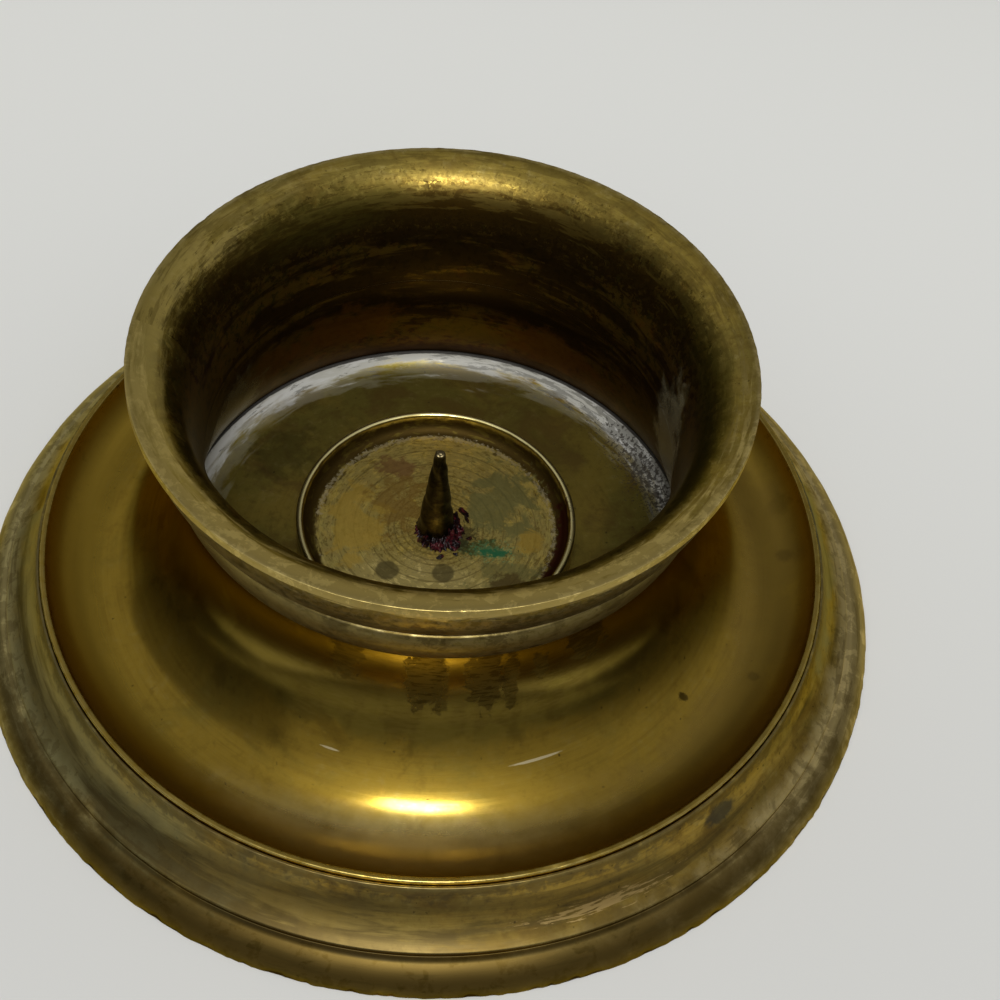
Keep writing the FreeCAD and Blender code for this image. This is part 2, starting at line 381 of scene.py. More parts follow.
def ragged_ring(seed: int, waves: Sequence[int], depth: float) -> Callable[[np.ndarray], np.ndarray]:
    """Uneven line round the axis: a sum of cosines of the angle whose phases come from the seed.

    Args:
        seed: fixes the phases.
        waves: lowest and highest number of waves round the axis, and how many are drawn.
        depth: largest depth, in millimetres.

    Returns:
        A function of the angle that gives depths from 0 to depth.
    """
    rng = np.random.default_rng(seed)
    low, high, count = waves
    rates = rng.integers(low, high, count)
    phases = rng.uniform(0, TURN, count)

    def at(angle: np.ndarray) -> np.ndarray:
        """Depth at each angle."""
        total = np.cos(angle[..., None] * rates + phases).sum(-1) / math.sqrt(count / 2)
        return depth * np.clip(0.5 + 0.28 * total, 0, 1)

    return at


def nicked(depth: np.ndarray, nicks: Sequence[Place], rim: Point, tall: float,
           place: tuple[np.ndarray, np.ndarray, np.ndarray]) -> np.ndarray:
    """Add small dents: depth times a bell curve of the distance along the rim and of the distance in the section.

    Args:
        depth: depths that are there already.
        nicks: degrees, half width and depth of each dent.
        rim: radius and height of the rim.
        tall: half height of the dents.
        place: radius, height and angle of each point.

    Returns:
        The depths with the dents added.
    """
    radius, height, angle = place
    off = ((height - rim[1]) ** 2 + (radius - rim[0]) ** 2) / tall ** 2
    for degrees, wide, deep in nicks:
        away = turned_away(angle, degrees) * rim[0] / wide
        depth = depth + deep * np.exp(-away ** 2 - off)
    return depth


# ---------------------------------------------------------------- shader helpers

class Graph:
    """Adds nodes to one node tree."""

    def __init__(self, tree: bpy.types.NodeTree) -> None:
        """Hold the tree."""
        self.tree = tree

    def add(self, kind: str, inputs: Optional[dict[Any, Any]] = None, **settings: Any) -> bpy.types.Node:
        """Add a node, set its properties, and set or link its inputs.

        Args:
            kind: the node's type.
            inputs: values or sockets by input name or number.
            **settings: properties of the node.

        Returns:
            The node.
        """
        node = self.tree.nodes.new(kind)
        for key, value in settings.items():
            setattr(node, key, value)
        for key, value in (inputs or {}).items():
            self.join(value, node.inputs[key])
        return node

    def join(self, value: Any, socket: bpy.types.NodeSocket) -> None:
        """Link a socket, or set a value on the input."""
        if isinstance(value, bpy.types.NodeSocket):
            self.tree.links.new(value, socket)
        elif isinstance(value, (tuple, list)) and socket.type == "RGBA" and len(value) == 3:
            socket.default_value = (*value, 1.0)
        else:
            socket.default_value = value

    def maths(self, operation: str, *values: Any, clamp: bool = False) -> bpy.types.NodeSocket:
        """Result of a Math node on up to three values."""
        node = self.add("ShaderNodeMath", dict(enumerate(values)), operation=operation, use_clamp=clamp)
        return node.outputs[0]

    def times(self, one: Any, two: Any) -> bpy.types.NodeSocket:
        """Product of two numbers."""
        return self.maths("MULTIPLY", one, two)

    def plus(self, one: Any, two: Any) -> bpy.types.NodeSocket:
        """Sum of two numbers."""
        return self.maths("ADD", one, two)

    def minus(self, one: Any, two: Any) -> bpy.types.NodeSocket:
        """The first number less the second."""
        return self.maths("SUBTRACT", one, two)

    def vector(self, operation: str, *values: Any) -> bpy.types.NodeSocket:
        """Vector result of a Vector Math node."""
        inputs = dict(enumerate(values))
        if operation == "SCALE":
            inputs = {0: values[0], "Scale": values[1]}
        node = self.add("ShaderNodeVectorMath", inputs, operation=operation)
        return node.outputs["Value" if operation in ("LENGTH", "DOT_PRODUCT") else "Vector"]

    def blend(self, share: Any, low: Any, high: Any) -> bpy.types.NodeSocket:
        """Colour between two colours."""
        node = self.add("ShaderNodeMix", {0: share, 6: low, 7: high}, data_type="RGBA")
        return node.outputs[2]

    def between(self, share: Any, low: Any, high: Any) -> bpy.types.NodeSocket:
        """Number between two numbers."""
        node = self.add("ShaderNodeMix", {0: share, 2: low, 3: high}, data_type="FLOAT")
        return node.outputs[0]

    def span(self, value: Any, low: Any, high: Any, first: Any = 0.0, last: Any = 1.0) -> bpy.types.NodeSocket:
        """Smooth step of a value from low to high, given out from first to last."""
        node = self.add("ShaderNodeMapRange", {0: value, 1: low, 2: high, 3: first, 4: last},
                        interpolation_type="SMOOTHSTEP")
        return node.outputs[0]

    def noise(self, place: Any, scale: Any, detail: float = 4.0, rough: float = 0.55,
              warp: float = 0.0) -> bpy.types.NodeSocket:
        """Noise value, about 0.5 in the middle."""
        node = self.add("ShaderNodeTexNoise", {"Vector": place, "Scale": scale, "Detail": detail,
                                               "Roughness": rough, "Distortion": warp})
        return node.outputs[0]

    def tinted(self, share: Any, stops: Sequence[tuple[float, Colour]]) -> bpy.types.NodeSocket:
        """Colour from a ramp of stops."""
        node = self.add("ShaderNodeValToRGB", {0: share})
        ramp = node.color_ramp
        while len(ramp.elements) < len(stops):
            ramp.elements.new(0.5)
        for element, (position, colour) in zip(ramp.elements, stops):
            element.position = position
            element.color = (*colour, 1.0)
        return node.outputs[0]


class Sheet:
    """A new material: its nodes, the inputs of its shader and the place on the object."""

    def __init__(self, name: str) -> None:
        """Make the material.

        Args:
            name: the material's name.
        """
        self.material = bpy.data.materials.new(name)
        self.material.use_nodes = True
        self.graph = Graph(self.material.node_tree)
        self.inputs = self.material.node_tree.nodes["Principled BSDF"].inputs
        self.metres = self.graph.add("ShaderNodeTexCoord").outputs["Object"]
        self.place = self.graph.vector("SCALE", self.metres, 1 / MM)

    def feed(self, values: dict[str, Any]) -> None:
        """Link or set inputs of the shader by name."""
        for label, value in values.items():
            self.graph.join(value, self.inputs[label])

    def bumped(self, height: Any, strength: float, depth: float) -> bpy.types.NodeSocket:
        """Normal of a bump of a depth in millimetres."""
        return self.graph.add("ShaderNodeBump", {"Height": height, "Strength": strength,
                                                 "Distance": depth * MM}).outputs[0]


class EffectGroup:
    """Node group that more than one material uses, with named inputs and outputs."""

    def __init__(self, name: str, inputs: Sequence[tuple[str, str, Any]], outputs: Sequence[str]) -> None:
        """Make the group and its sockets.

        Args:
            name: the group's name.
            inputs: name, kind (Vector or Float) and default value of each input.
            outputs: names of the number outputs.
        """
        self.tree = bpy.data.node_groups.new(name, "ShaderNodeTree")
        for label, kind, value in inputs:
            socket = self.tree.interface.new_socket(label, in_out="INPUT", socket_type="NodeSocket" + kind)
            socket.default_value = value
        for label in outputs:
            self.tree.interface.new_socket(label, in_out="OUTPUT", socket_type="NodeSocketFloat")
        self.graph = Graph(self.tree)
        self.given = self.tree.nodes.new("NodeGroupInput").outputs
        self.result = self.tree.nodes.new("NodeGroupOutput").inputs

    def give(self, label: str, value: bpy.types.NodeSocket) -> None:
        """Connect a result to a named output."""
        self.tree.links.new(value, self.result[label])

    def used_in(self, graph: Graph, **inputs: Any) -> bpy.types.NodeOutputs:
        """Place the group in a material, with its own values, and give its outputs."""
        node = graph.add("ShaderNodeGroup", node_tree=self.tree)
        for label, value in inputs.items():
            graph.join(value, node.inputs[label])
        return node.outputs


# Fine, coarse and slow lathe lines: rate along the section, reach round the axis, shift and detail of the noise.
LATHE_LINES = ((1.0, 1.0, 0.0, 3.0), (0.22, 0.6, 31.0, 3.0), (0.06, 2.2, 77.0, 2.0))


def make_turning_marks() -> EffectGroup:
    """Fine lathe and brush lines round the axis.

    The noise is read at (length along the section, cos angle, sin angle), stretched so that it changes fast
    along the section and slowly round the axis.
    """
    effect = EffectGroup("turning_marks", [("Turning", "Vector", (0, 0, 0)), ("Fineness", "Float", 4.0),
                                           ("Length", "Float", 3.0)], ["Height", "Streak"])
    graph, given = effect.graph, effect.given
    parts = graph.add("ShaderNodeSeparateXYZ", {0: given["Turning"]}).outputs

    def lines(rate: float, reach: float, shift: float, detail: float) -> bpy.types.NodeSocket:
        """Noise stretched along the lines."""
        along = graph.times(parts[0], graph.times(given["Fineness"], rate))
        round_x = graph.times(parts[1], graph.times(given["Length"], reach))
        round_y = graph.times(parts[2], graph.times(given["Length"], reach))
        place = graph.add("ShaderNodeCombineXYZ", {0: graph.plus(along, shift), 1: round_x, 2: round_y})
        return graph.noise(place.outputs[0], 1.0, detail, 0.6)

    fine, coarse, slow = (lines(*kind) for kind in LATHE_LINES)
    height = graph.plus(graph.times(fine, 0.5), graph.times(coarse, 0.5))
    effect.give("Height", height)
    streak = graph.times(graph.span(coarse, 0.38, 0.66), graph.span(slow, 0.3, 0.7))
    effect.give("Streak", graph.plus(graph.times(streak, 0.7), graph.times(graph.span(fine, 0.5, 0.72), 0.3)))
    return effect


def make_tarnish_cloud() -> EffectGroup:
    """Blotches of tarnish: a noise whose threshold is set by how much of the surface they cover."""
    effect = EffectGroup("tarnish_cloud", [("Place", "Vector", (0, 0, 0)), ("Grain", "Float", 0.1),
                                           ("Cover", "Float", 0.5), ("Softness", "Float", 0.15)], ["Mask"])
    graph, given = effect.graph, effect.given
    value = graph.noise(given["Place"], given["Grain"], 7.0, 0.62, 0.6)
    edge = graph.span(given["Cover"], 0.0, 1.0, 0.72, 0.28)
    low = graph.minus(edge, given["Softness"])
    high = graph.plus(edge, given["Softness"])
    effect.give("Mask", graph.span(value, low, high))
    return effect


def make_speckle() -> EffectGroup:
    """Small pits and specks: the nearest points of a Voronoi pattern, kept where a noise allows."""
    effect = EffectGroup("speckle", [("Place", "Vector", (0, 0, 0)), ("Grain", "Float", 0.5),
                                     ("Size", "Float", 0.2), ("Cover", "Float", 0.3)], ["Mask"])
    graph, given = effect.graph, effect.given
    wobble = graph.add("ShaderNodeTexNoise", {"Vector": given["Place"], "Scale": 1.7, "Detail": 3.0})
    moved = graph.vector("ADD", given["Place"], graph.vector("SCALE", wobble.outputs[1], 0.9))
    cells = graph.add("ShaderNodeTexVoronoi", {"Vector": moved, "Scale": given["Grain"]})
    dots = graph.span(cells.outputs["Distance"], given["Size"], graph.times(given["Size"], 0.5))
    chosen = graph.add("ShaderNodeSeparateColor", {0: cells.outputs["Color"]}).outputs[0]
    kept = graph.maths("LESS_THAN", chosen, given["Cover"])
    effect.give("Mask", graph.times(dots, kept))
    return effect


def make_worn_arris() -> EffectGroup:
    """Bright wear on the arrises, broken up by a noise."""
    effect = EffectGroup("worn_arris", [("Arris", "Float", 0.0), ("Place", "Vector", (0, 0, 0)),
                                        ("Amount", "Float", 1.0)], ["Mask"])
    graph, given = effect.graph, effect.given
    broken = graph.span(graph.noise(given["Place"], 0.35, 5.0, 0.65), 0.25, 0.6)
    value = graph.times(given["Arris"], given["Amount"])
    effect.give("Mask", graph.maths("MULTIPLY", value, broken, clamp=True))
    return effect


def make_patch() -> EffectGroup:
    """One stain: the distance of Where from a centre, over its half sizes, with an edge roughened by noise.

    Where is the place itself for a spot, and (radius, degrees, height) for a mark that follows the turning.
    """
    effect = EffectGroup("stain_patch", [("Place", "Vector", (0, 0, 0)), ("Where", "Vector", (0, 0, 0)),
                                         ("Centre", "Vector", (0, 0, 0)),
                                         ("Reach", "Vector", (1, 1, 1)), ("Ragged", "Float", 0.3),
                                         ("Grain", "Float", 0.4), ("Softness", "Float", 0.3)], ["Mask"])
    graph, given = effect.graph, effect.given
    away = graph.vector("DIVIDE", graph.vector("SUBTRACT", given["Where"], given["Centre"]), given["Reach"])
    rough = graph.minus(graph.noise(given["Place"], given["Grain"], 6.0, 0.65, 0.4), 0.5)
    far = graph.plus(graph.vector("LENGTH", away), graph.times(rough, graph.times(given["Ragged"], 4.0)))
    inside = graph.minus(1.0, given["Softness"])
    effect.give("Mask", graph.span(far, graph.plus(1.0, given["Softness"]), inside))
    return effect


class Effects:
    """The shared effects, each made once."""

    turning = make_turning_marks()
    cloud = make_tarnish_cloud()
    speckle = make_speckle()
    arris = make_worn_arris()
    patch = make_patch()


# ---------------------------------------------------------------- finishes

@dataclass
class Look:
    """Sockets or values that a material has built so far."""

    colour: Any
    rough: Any
    metal: Any


class Lie(Enum):
    """How a mark lies: whether it follows the turning, the side that it keeps to, and whether it is drawn.

    Side 1 keeps a mark to surfaces that face the axis and side -1 to those that face outwards. A drawn mark has
    its noise stretched round the turning.
    """

    SPOT = (False, 0, False)
    TURNED = (True, 0, False)
    DRAWN = (True, 0, True)
    INNER = (True, 1, False)
    INNER_DRAWN = (True, 1, True)
    OUTER = (True, -1, False)
    OUTER_DRAWN = (True, -1, True)

    def __init__(self, polar: bool, side: int, drawn: bool) -> None:
        """Name the three parts of the value."""
        self.polar, self.side, self.drawn = polar, side, drawn


SPOT, TURNED, DRAWN, INNER, INNER_DRAWN, OUTER, OUTER_DRAWN = Lie


@dataclass(frozen=True)
class Stain:
    """A mark on a piece, in millimetres: a spot of (x, y, z), or else a stretch of (radius, degrees, height)."""

    lie: Lie
    centre: Place
    reach: Place
    tint: Colour
    strength: float = 0.8
    ragged: float = 0.25
    grain: float = 0.5
    softness: float = 0.25
    rough: Optional[float] = None
    metal: Optional[float] = None

    def laid_on(self, graph: Graph, look: Look, place: bpy.types.NodeSocket, turned: bpy.types.NodeSocket,
                drawn: bpy.types.NodeSocket, sides: dict[int, bpy.types.NodeSocket]) -> Look:
        """Lay the mark over what is there.

        Args:
            graph: the material's nodes.
            look: what is there already.
            place: the place in millimetres.
            turned: the place as radius, degrees and height.
            drawn: the place stretched round the turning.
            sides: masks of the surfaces that face in (1) and out (-1).

        Returns:
            The look with the mark on it.
        """
        mask = Effects.patch.used_in(graph, Place=drawn if self.lie.drawn else place,
                                     Where=turned if self.lie.polar else place, Centre=self.centre,
                                     Reach=self.reach, Ragged=self.ragged, Grain=self.grain,
                                     Softness=self.softness)["Mask"]
        if self.lie.side:
            mask = graph.times(mask, sides[self.lie.side])
        mask = graph.times(mask, self.strength)
        rough = look.rough if self.rough is None else graph.between(mask, look.rough, self.rough)
        metal = look.metal if self.metal is None else graph.between(mask, look.metal, self.metal)
        return Look(graph.blend(mask, look.colour, self.tint), rough, metal)


@dataclass(frozen=True)
class TurnedBrass:
    """Old brass with lathe lines, tarnish, worn arrises, dirt and painted shade in its hollows and marks of its
    own.
    """

    OLIVE_SOFTNESS, BROWN_SOFTNESS = 0.13, 0.1
    SPECK_GRAIN, SPECK_SIZE, SPECK_SHARE, SPECK_DEPTH = 0.45, 0.16, 0.7, -0.25
    FINE_MOTTLE, WIDE_MOTTLE = (0.55, 6.0, 0.7), (0.13, 4.0, 0.6)
    BROWN_SHARE, UNDER_SHARE = 0.75, 0.6
    STREAK_ROUGH, GRIME_ROUGH, UNDER_ROUGH, WORN_ROUGH = 0.18, 0.7, 0.55, 0.3
    FACING_IN, FACING_OUT = (-0.35, -0.85), (0.0, 0.3)
    DRAWN_OUT = (1.0, 10.0, 10.0)
    UPRIGHT_SQUEEZE = (1.0, 1.0, 1.6)

    name: str
    polished: Colour = (0.32, 0.222, 0.032)
    olive: Colour = (0.215, 0.165, 0.032)
    brown: Colour = (0.11, 0.062, 0.012)
    bright: Colour = (0.50, 0.40, 0.14)
    dirt_and_shade: Colour = (0.03, 0.02, 0.008)
    rough: float = 0.24
    dull_rough: float = 0.42
    olive_cover: float = 0.5
    brown_cover: float = 0.3
    olive_grain: float = 0.035
    brown_grain: float = 0.12
    streaks: float = 0.35
    line_depth: float = 0.35
    fineness: float = 4.0
    specks: float = 0.12
    wear: float = 0.9
    grime_and_shade: float = 0.6
    mottle: float = 0.35
    metal: float = 1.0
    edge: Colour = (1.0, 1.0, 1.0)
    coats: tuple[Stain, ...] = ()
    stains: tuple[Stain, ...] = ()

    def make(self) -> bpy.types.Material:
        """Build the material.

        Returns:
            The material.
        """
        sheet = Sheet(self.name)
        graph, place = sheet.graph, sheet.place
        marks = {key: graph.add("ShaderNodeAttribute", attribute_name=key).outputs
                 for key in ("turning", "arris", "hollow", "under", "facing")}
        lines = Effects.turning.used_in(graph, Turning=marks["turning"]["Vector"], Fineness=self.fineness)
        squeezed = graph.vector("MULTIPLY", place, self.UPRIGHT_SQUEEZE)
        olive = Effects.cloud.used_in(graph, Place=squeezed, Grain=self.olive_grain,
                                      Cover=self.olive_cover, Softness=self.OLIVE_SOFTNESS)["Mask"]
        brown = Effects.cloud.used_in(graph, Place=squeezed, Grain=self.brown_grain,
                                      Cover=self.brown_cover, Softness=self.BROWN_SOFTNESS)["Mask"]
        specks = Effects.speckle.used_in(graph, Place=place, Grain=self.SPECK_GRAIN, Size=self.SPECK_SIZE,
                                         Cover=self.specks)["Mask"]
        mottle = graph.plus(graph.times(graph.noise(place, *self.FINE_MOTTLE), 0.6),
                            graph.times(graph.noise(place, *self.WIDE_MOTTLE), 0.4))
        colour = graph.blend(olive, self.polished, self.olive)
        colour = graph.blend(graph.span(mottle, 0.50, 0.66, 0.0, self.mottle), colour, self.brown)
        colour = graph.blend(graph.span(mottle, 0.48, 0.34, 0.0, self.mottle * 0.6), colour, self.bright)
        colour = graph.blend(graph.times(brown, self.BROWN_SHARE), colour, self.brown)
        streak = graph.times(lines["Streak"], self.streaks)
        colour = graph.blend(streak, colour, self.brown)
        colour = graph.blend(graph.times(specks, self.SPECK_SHARE), colour, self.dirt_and_shade)
        tarnished = graph.maths("MAXIMUM", graph.times(olive, 0.5), brown)
        rough = graph.between(tarnished, self.rough, self.dull_rough)
        rough = graph.plus(rough, graph.times(streak, self.STREAK_ROUGH))
        # Hollows take the dark dirt colour: partly dirt, partly painted shade in the quirks and corners.
        hollow = graph.times(marks["hollow"]["Fac"], self.grime_and_shade)
        colour = graph.blend(hollow, colour, self.dirt_and_shade)
        rough = graph.between(hollow, rough, self.GRIME_ROUGH)
        under = marks["under"]["Fac"]
        colour = graph.blend(graph.times(under, self.UNDER_SHARE), colour, self.brown)
        rough = graph.between(graph.times(under, 0.8), rough, self.UNDER_ROUGH)
        parts = graph.add("ShaderNodeSeparateXYZ", {0: place}).outputs
        flat = graph.add("ShaderNodeCombineXYZ", {0: parts[0], 1: parts[1]}).outputs[0]
        degrees = graph.maths("DEGREES", graph.maths("ARCTAN2", parts[1], parts[0]))
        turned = graph.add("ShaderNodeCombineXYZ", {0: graph.vector("LENGTH", flat), 1: degrees, 2: parts[2]})
        facing = marks["facing"]["Fac"]
        sides = {1: graph.span(facing, *self.FACING_IN), -1: graph.span(facing, *self.FACING_OUT)}
        drawn = graph.vector("MULTIPLY", marks["turning"]["Vector"], self.DRAWN_OUT)
        look = Look(colour, rough, self.metal)
        for stain in self.coats:
            look = stain.laid_on(graph, look, place, turned.outputs[0], drawn, sides)
        worn = Effects.arris.used_in(graph, Arris=marks["arris"]["Fac"], Place=place, Amount=self.wear)["Mask"]
        look.colour = graph.blend(worn, look.colour, self.bright)
        look.rough = graph.between(worn, look.rough, self.WORN_ROUGH)
        look.metal = graph.between(worn, look.metal, 1.0)
        for stain in self.stains:
            look = stain.laid_on(graph, look, place, turned.outputs[0], drawn, sides)
        height = graph.plus(graph.times(lines["Height"], self.line_depth), graph.times(specks, self.SPECK_DEPTH))
        sheet.feed({"Base Color": look.colour, "Roughness": look.rough, "Metallic": look.metal,
                    "Specular Tint": self.edge, "Normal": sheet.bumped(height, 0.5, 0.02)})
        return sheet.material


@dataclass(frozen=True)
class DullSteel:
    """Plain steel of the washer and nut, dull, with a little rust."""

    name: str
    steel: Colour = (0.42, 0.41, 0.39)
    rust: Colour = (0.16, 0.07, 0.03)

    def make(self) -> bpy.types.Material:
        """Build the material.

        Returns:
            The material.
        """
        sheet = Sheet(self.name)
        graph, place = sheet.graph, sheet.place
        rusty = Effects.cloud.used_in(graph, Place=place, Grain=0.35, Cover=0.35, Softness=0.08)["Mask"]
        fine = graph.noise(place, 2.2, 5.0, 0.6)
        sheet.feed({"Base Color": graph.blend(rusty, self.steel, self.rust),
                    "Roughness": graph.between(rusty, 0.38, 0.8), "Metallic": graph.between(rusty, 1.0, 0.2),
                    "Normal": sheet.bumped(fine, 0.4, 0.03)})
        return sheet.material


@dataclass(frozen=True)
class OldWax:
    """Dark red candle wax left round the spike, with pale broken faces."""

    name: str
    deep: Colour = (0.006, 0.0015, 0.002)
    wine: Colour = (0.062, 0.007, 0.010)
    pale: Colour = (0.36, 0.22, 0.19)

    def make(self) -> bpy.types.Material:
        """Build the material.

        Returns:
            The material.
        """
        sheet = Sheet(self.name)
        graph, place = sheet.graph, sheet.place
        cloud = graph.noise(place, 0.55, 5.0, 0.6, 0.5)
        colour = graph.tinted(cloud, [(0.50, self.deep), (0.60, self.wine), (0.66, self.wine), (0.72, self.pale)])
        sheet.feed({"Base Color": colour, "Roughness": graph.between(cloud, 0.25, 0.5), "Specular IOR Level": 0.3,
                    "Normal": sheet.bumped(graph.noise(place, 1.6, 5.0, 0.6), 0.5, 0.25)})
        return sheet.material


# ---------------------------------------------------------------- pieces

def settle(obj: bpy.types.Object, material: bpy.types.Material, slot: Slot, *nodes: str) -> None:
    """Dress a piece, put it on the stand's body and hide the solids that it replaces.

    Args:
        obj: the piece.
        material: its material.
        slot: not used.
        *nodes: the solids that it replaces.
    """
    obj.data.materials.clear()
    obj.data.materials.append(material)
    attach(obj, "root")
    if nodes:
        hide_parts(*nodes)
    log.info("%s: %d faces", obj.name, len(obj.data.polygons))


def rim_bell(radius: np.ndarray, height: np.ndarray, rim: Point, spread: float) -> np.ndarray:
    """Bell curve of the distance from a rim in the section, over a spread in square millimetres."""
    return np.exp(-((radius - rim[0]) ** 2 + (height - rim[1]) ** 2) / spread)


def upright_radius(width: float, height: float) -> float:
    """Radius of an arc that leaves upright and moves sideways by width over height."""
    return (width ** 2 + height ** 2) / (2 * width)


class TurnedPiece:
    """A piece turned from its outline, which stands for one solid."""

    name = ""
    node = ""
    slot = Slot.CAST
    segments = 0

    def outline(self) -> Outline:
        """Half section of the piece."""
        raise NotImplementedError

    def wear(self, radius: np.ndarray, height: np.ndarray, angle: np.ndarray) -> np.ndarray:
        """Depth of the piece's wear at each point: none, unless the piece has its own."""
        return np.zeros_like(radius)

    def build(self, finish: TurnedBrass) -> None:
        """Turn and dress the piece."""
        settle(turn(self), finish.make(), self.slot, self.node)


@dataclass
class FootRing(TurnedPiece):
    """Moulded foot: bead, quirk, cavetto and the rebate that carries the tray."""

    name = "foot_ring_moulding"
    node = "foot_ring"
    foot_radius: float = 115.2
    bead_top_radius: float = 109.6
    cavetto_foot_radius: float = 108.3
    bead_height: float = 7.4
    cavetto_foot_z: float = 8.6
    bead_rise: float = 1.0
    foot_edge_height: float = 0.8
    cavetto_hollow: float = 2.1
    bore_depth: float = 6.5
    rim_width: float = 6.0
    underside_sag: float = 1.0
    chip_z: float = 0.6
    chip_tall: float = 1.1
    chip_depth: float = 1.6
    edge_wear: float = 0.5
    bead_wear: float = 0.35
    bead_reach: float = 3.2
    segments: int = 720

    def outline(self) -> Outline:
        """Half section, from the tray's ledge outwards, down the mouldings and back under."""
        d = DATUMS
        bore = d.tray_spigot_radius + d.fit
        rebate = d.tray_radius + d.fit
        section = Section(bore, d.ledge_z, step=1.1)
        section.lines((rebate, d.ledge_z), (rebate, d.ring_top_z))
        section.step = 0.8
        section.line(d.ring_land_radius, d.ring_top_z, soft=0.3)
        section.step = 0.55
        section.bulge(self.cavetto_foot_radius, self.cavetto_foot_z, -self.cavetto_hollow, soft=0.3)
        section.lines((self.cavetto_foot_radius, self.bead_height, 0.2),
                      (self.bead_top_radius, self.bead_height, 0.5))
        section.bulge(self.foot_radius, self.foot_edge_height, self.bead_rise, soft=0.4)
        section.line(self.foot_radius, 0, soft=0.25)
        section.under, section.step = 1.0, 2.5
        section.line(self.foot_radius - self.rim_width, 0, soft=0.4)
        section.bulge(bore, d.ledge_z - self.bore_depth, -self.underside_sag)
        return section.sampled()

    def wear(self, radius: np.ndarray, height: np.ndarray, angle: np.ndarray) -> np.ndarray:
        """Depth of the chipped outer edge, of the knocks on the bead and of a slight unevenness."""
        edge = np.exp(-((height - self.chip_z) / self.chip_tall) ** 2) * (radius > self.foot_radius - 2.0)
        chips = ragged_ring(5, (60, 260, 40), 0.55)(angle) ** 2
        worn = ragged_ring(6, (12, 70, 24), 0.35)(angle)
        bead = np.exp(-((radius - self.foot_radius) / self.bead_reach) ** 2) * (height < self.bead_height)
        ring_top = rim_bell(radius, height, (DATUMS.ring_land_radius, DATUMS.ring_top_z), 0.5)
        knocks = ragged_ring(8, (30, 160, 30), 0.12)(angle)
        worn_edge = edge * (chips * self.chip_depth + self.edge_wear * worn)
        return worn_edge + bead * worn * self.bead_wear + ring_top * knocks


@dataclass
class DishNeck(TurnedPiece):
    """Drip tray and trumpet neck in one, with the collar's spigot and the pan's seat."""

    name = "drip_tray_and_neck"
    node = "dish_neck"
    trumpet_spread: float = 27.7
    gutter_radius: float = 18.0
    rise_width: float = 10.7
    valley_depth: float = 7.6
    wall: float = 3.5
    wall_spread: float = 9.9
    seat_depth: float = 5.2
    nicks: tuple[Place, ...] = ((-68.4, 1.3, 0.35), (-65.0, 0.7, 0.25), (-120.0, 0.9, 0.2))
    segments: int = 416

    def outline(self) -> Outline:
        """Half section, from the spigot down the trumpet, through the gutter and back under to the pan's seat."""
        d = DATUMS
        gutter = np.array([d.valley_radius, d.valley_z + self.gutter_radius])
        fall = d.neck_top_z - gutter[1]
        reach = self.trumpet_spread - self.gutter_radius
        trumpet_radius = (self.trumpet_spread ** 2 + fall ** 2 - self.gutter_radius ** 2) / (2 * reach)
        trumpet = np.array([d.neck_radius + trumpet_radius, d.neck_top_z])
        way = (gutter - trumpet) / np.linalg.norm(gutter - trumpet)
        touch = gutter + way * self.gutter_radius
        rise_radius = upright_radius(self.valley_depth, self.rise_width)
        rise = np.array([d.valley_radius, d.valley_z + rise_radius])
        under_rise, under_gutter = rise_radius + self.wall, self.gutter_radius + self.wall
        land_z = d.pan_rim_z - self.seat_depth
        land = gutter[0] - math.sqrt(under_gutter ** 2 - (gutter[1] - land_z) ** 2)
        spigot_z = rise[1] - math.sqrt(under_rise ** 2 - (rise[0] - d.tray_spigot_radius) ** 2)
        wall_radius = upright_radius(self.wall_spread, d.spigot_top_z - d.pan_rim_z)
        wall_centre = (d.throat_radius + wall_radius, d.spigot_top_z)
        section = Section(d.spigot_radius, d.spigot_top_z, step=2.0)
        section.lines((d.spigot_radius, d.neck_top_z), (d.neck_radius, d.neck_top_z, 0.15))
        section.step = 0.75
        section.arc(tuple(trumpet), touch[0], touch[1])
        section.arc(tuple(gutter), d.valley_radius, d.valley_z)
        section.arc(tuple(rise), d.tray_rim_radius, d.tray_edge_z, soft=0.3)
        section.lines((d.tray_radius, d.tray_edge_z, 0.45), (d.tray_radius, d.ledge_z))
        section.under, section.step = 1.0, 2.5
        section.lines((d.tray_spigot_radius, d.ledge_z), (d.tray_spigot_radius, spigot_z))
        section.arc(tuple(rise), d.valley_radius, d.valley_z - self.wall)
        section.arc(tuple(gutter), land, land_z)
        section.lines((d.pan_radius + d.fit, land_z), (d.pan_radius + d.fit, d.pan_rim_z))
        section.under = 0.0
        section.line(d.shoulder_radius, d.pan_rim_z)
        section.step = 1.1
        section.arc(wall_centre, d.throat_radius, d.spigot_top_z, soft=0.1)
        return section.sampled()

    def wear(self, radius: np.ndarray, height: np.ndarray, angle: np.ndarray) -> np.ndarray:
        """Depth of small knocks along the tray's edge."""
        d = DATUMS
        edge = rim_bell(radius, height, (d.tray_radius, d.tray_edge_z), 0.5)
        depth = edge * ragged_ring(11, (40, 200, 36), 0.14)(angle)
        return nicked(depth, self.nicks, (d.tray_radius - 0.3, d.tray_edge_z), 0.6, (radius, height, angle))


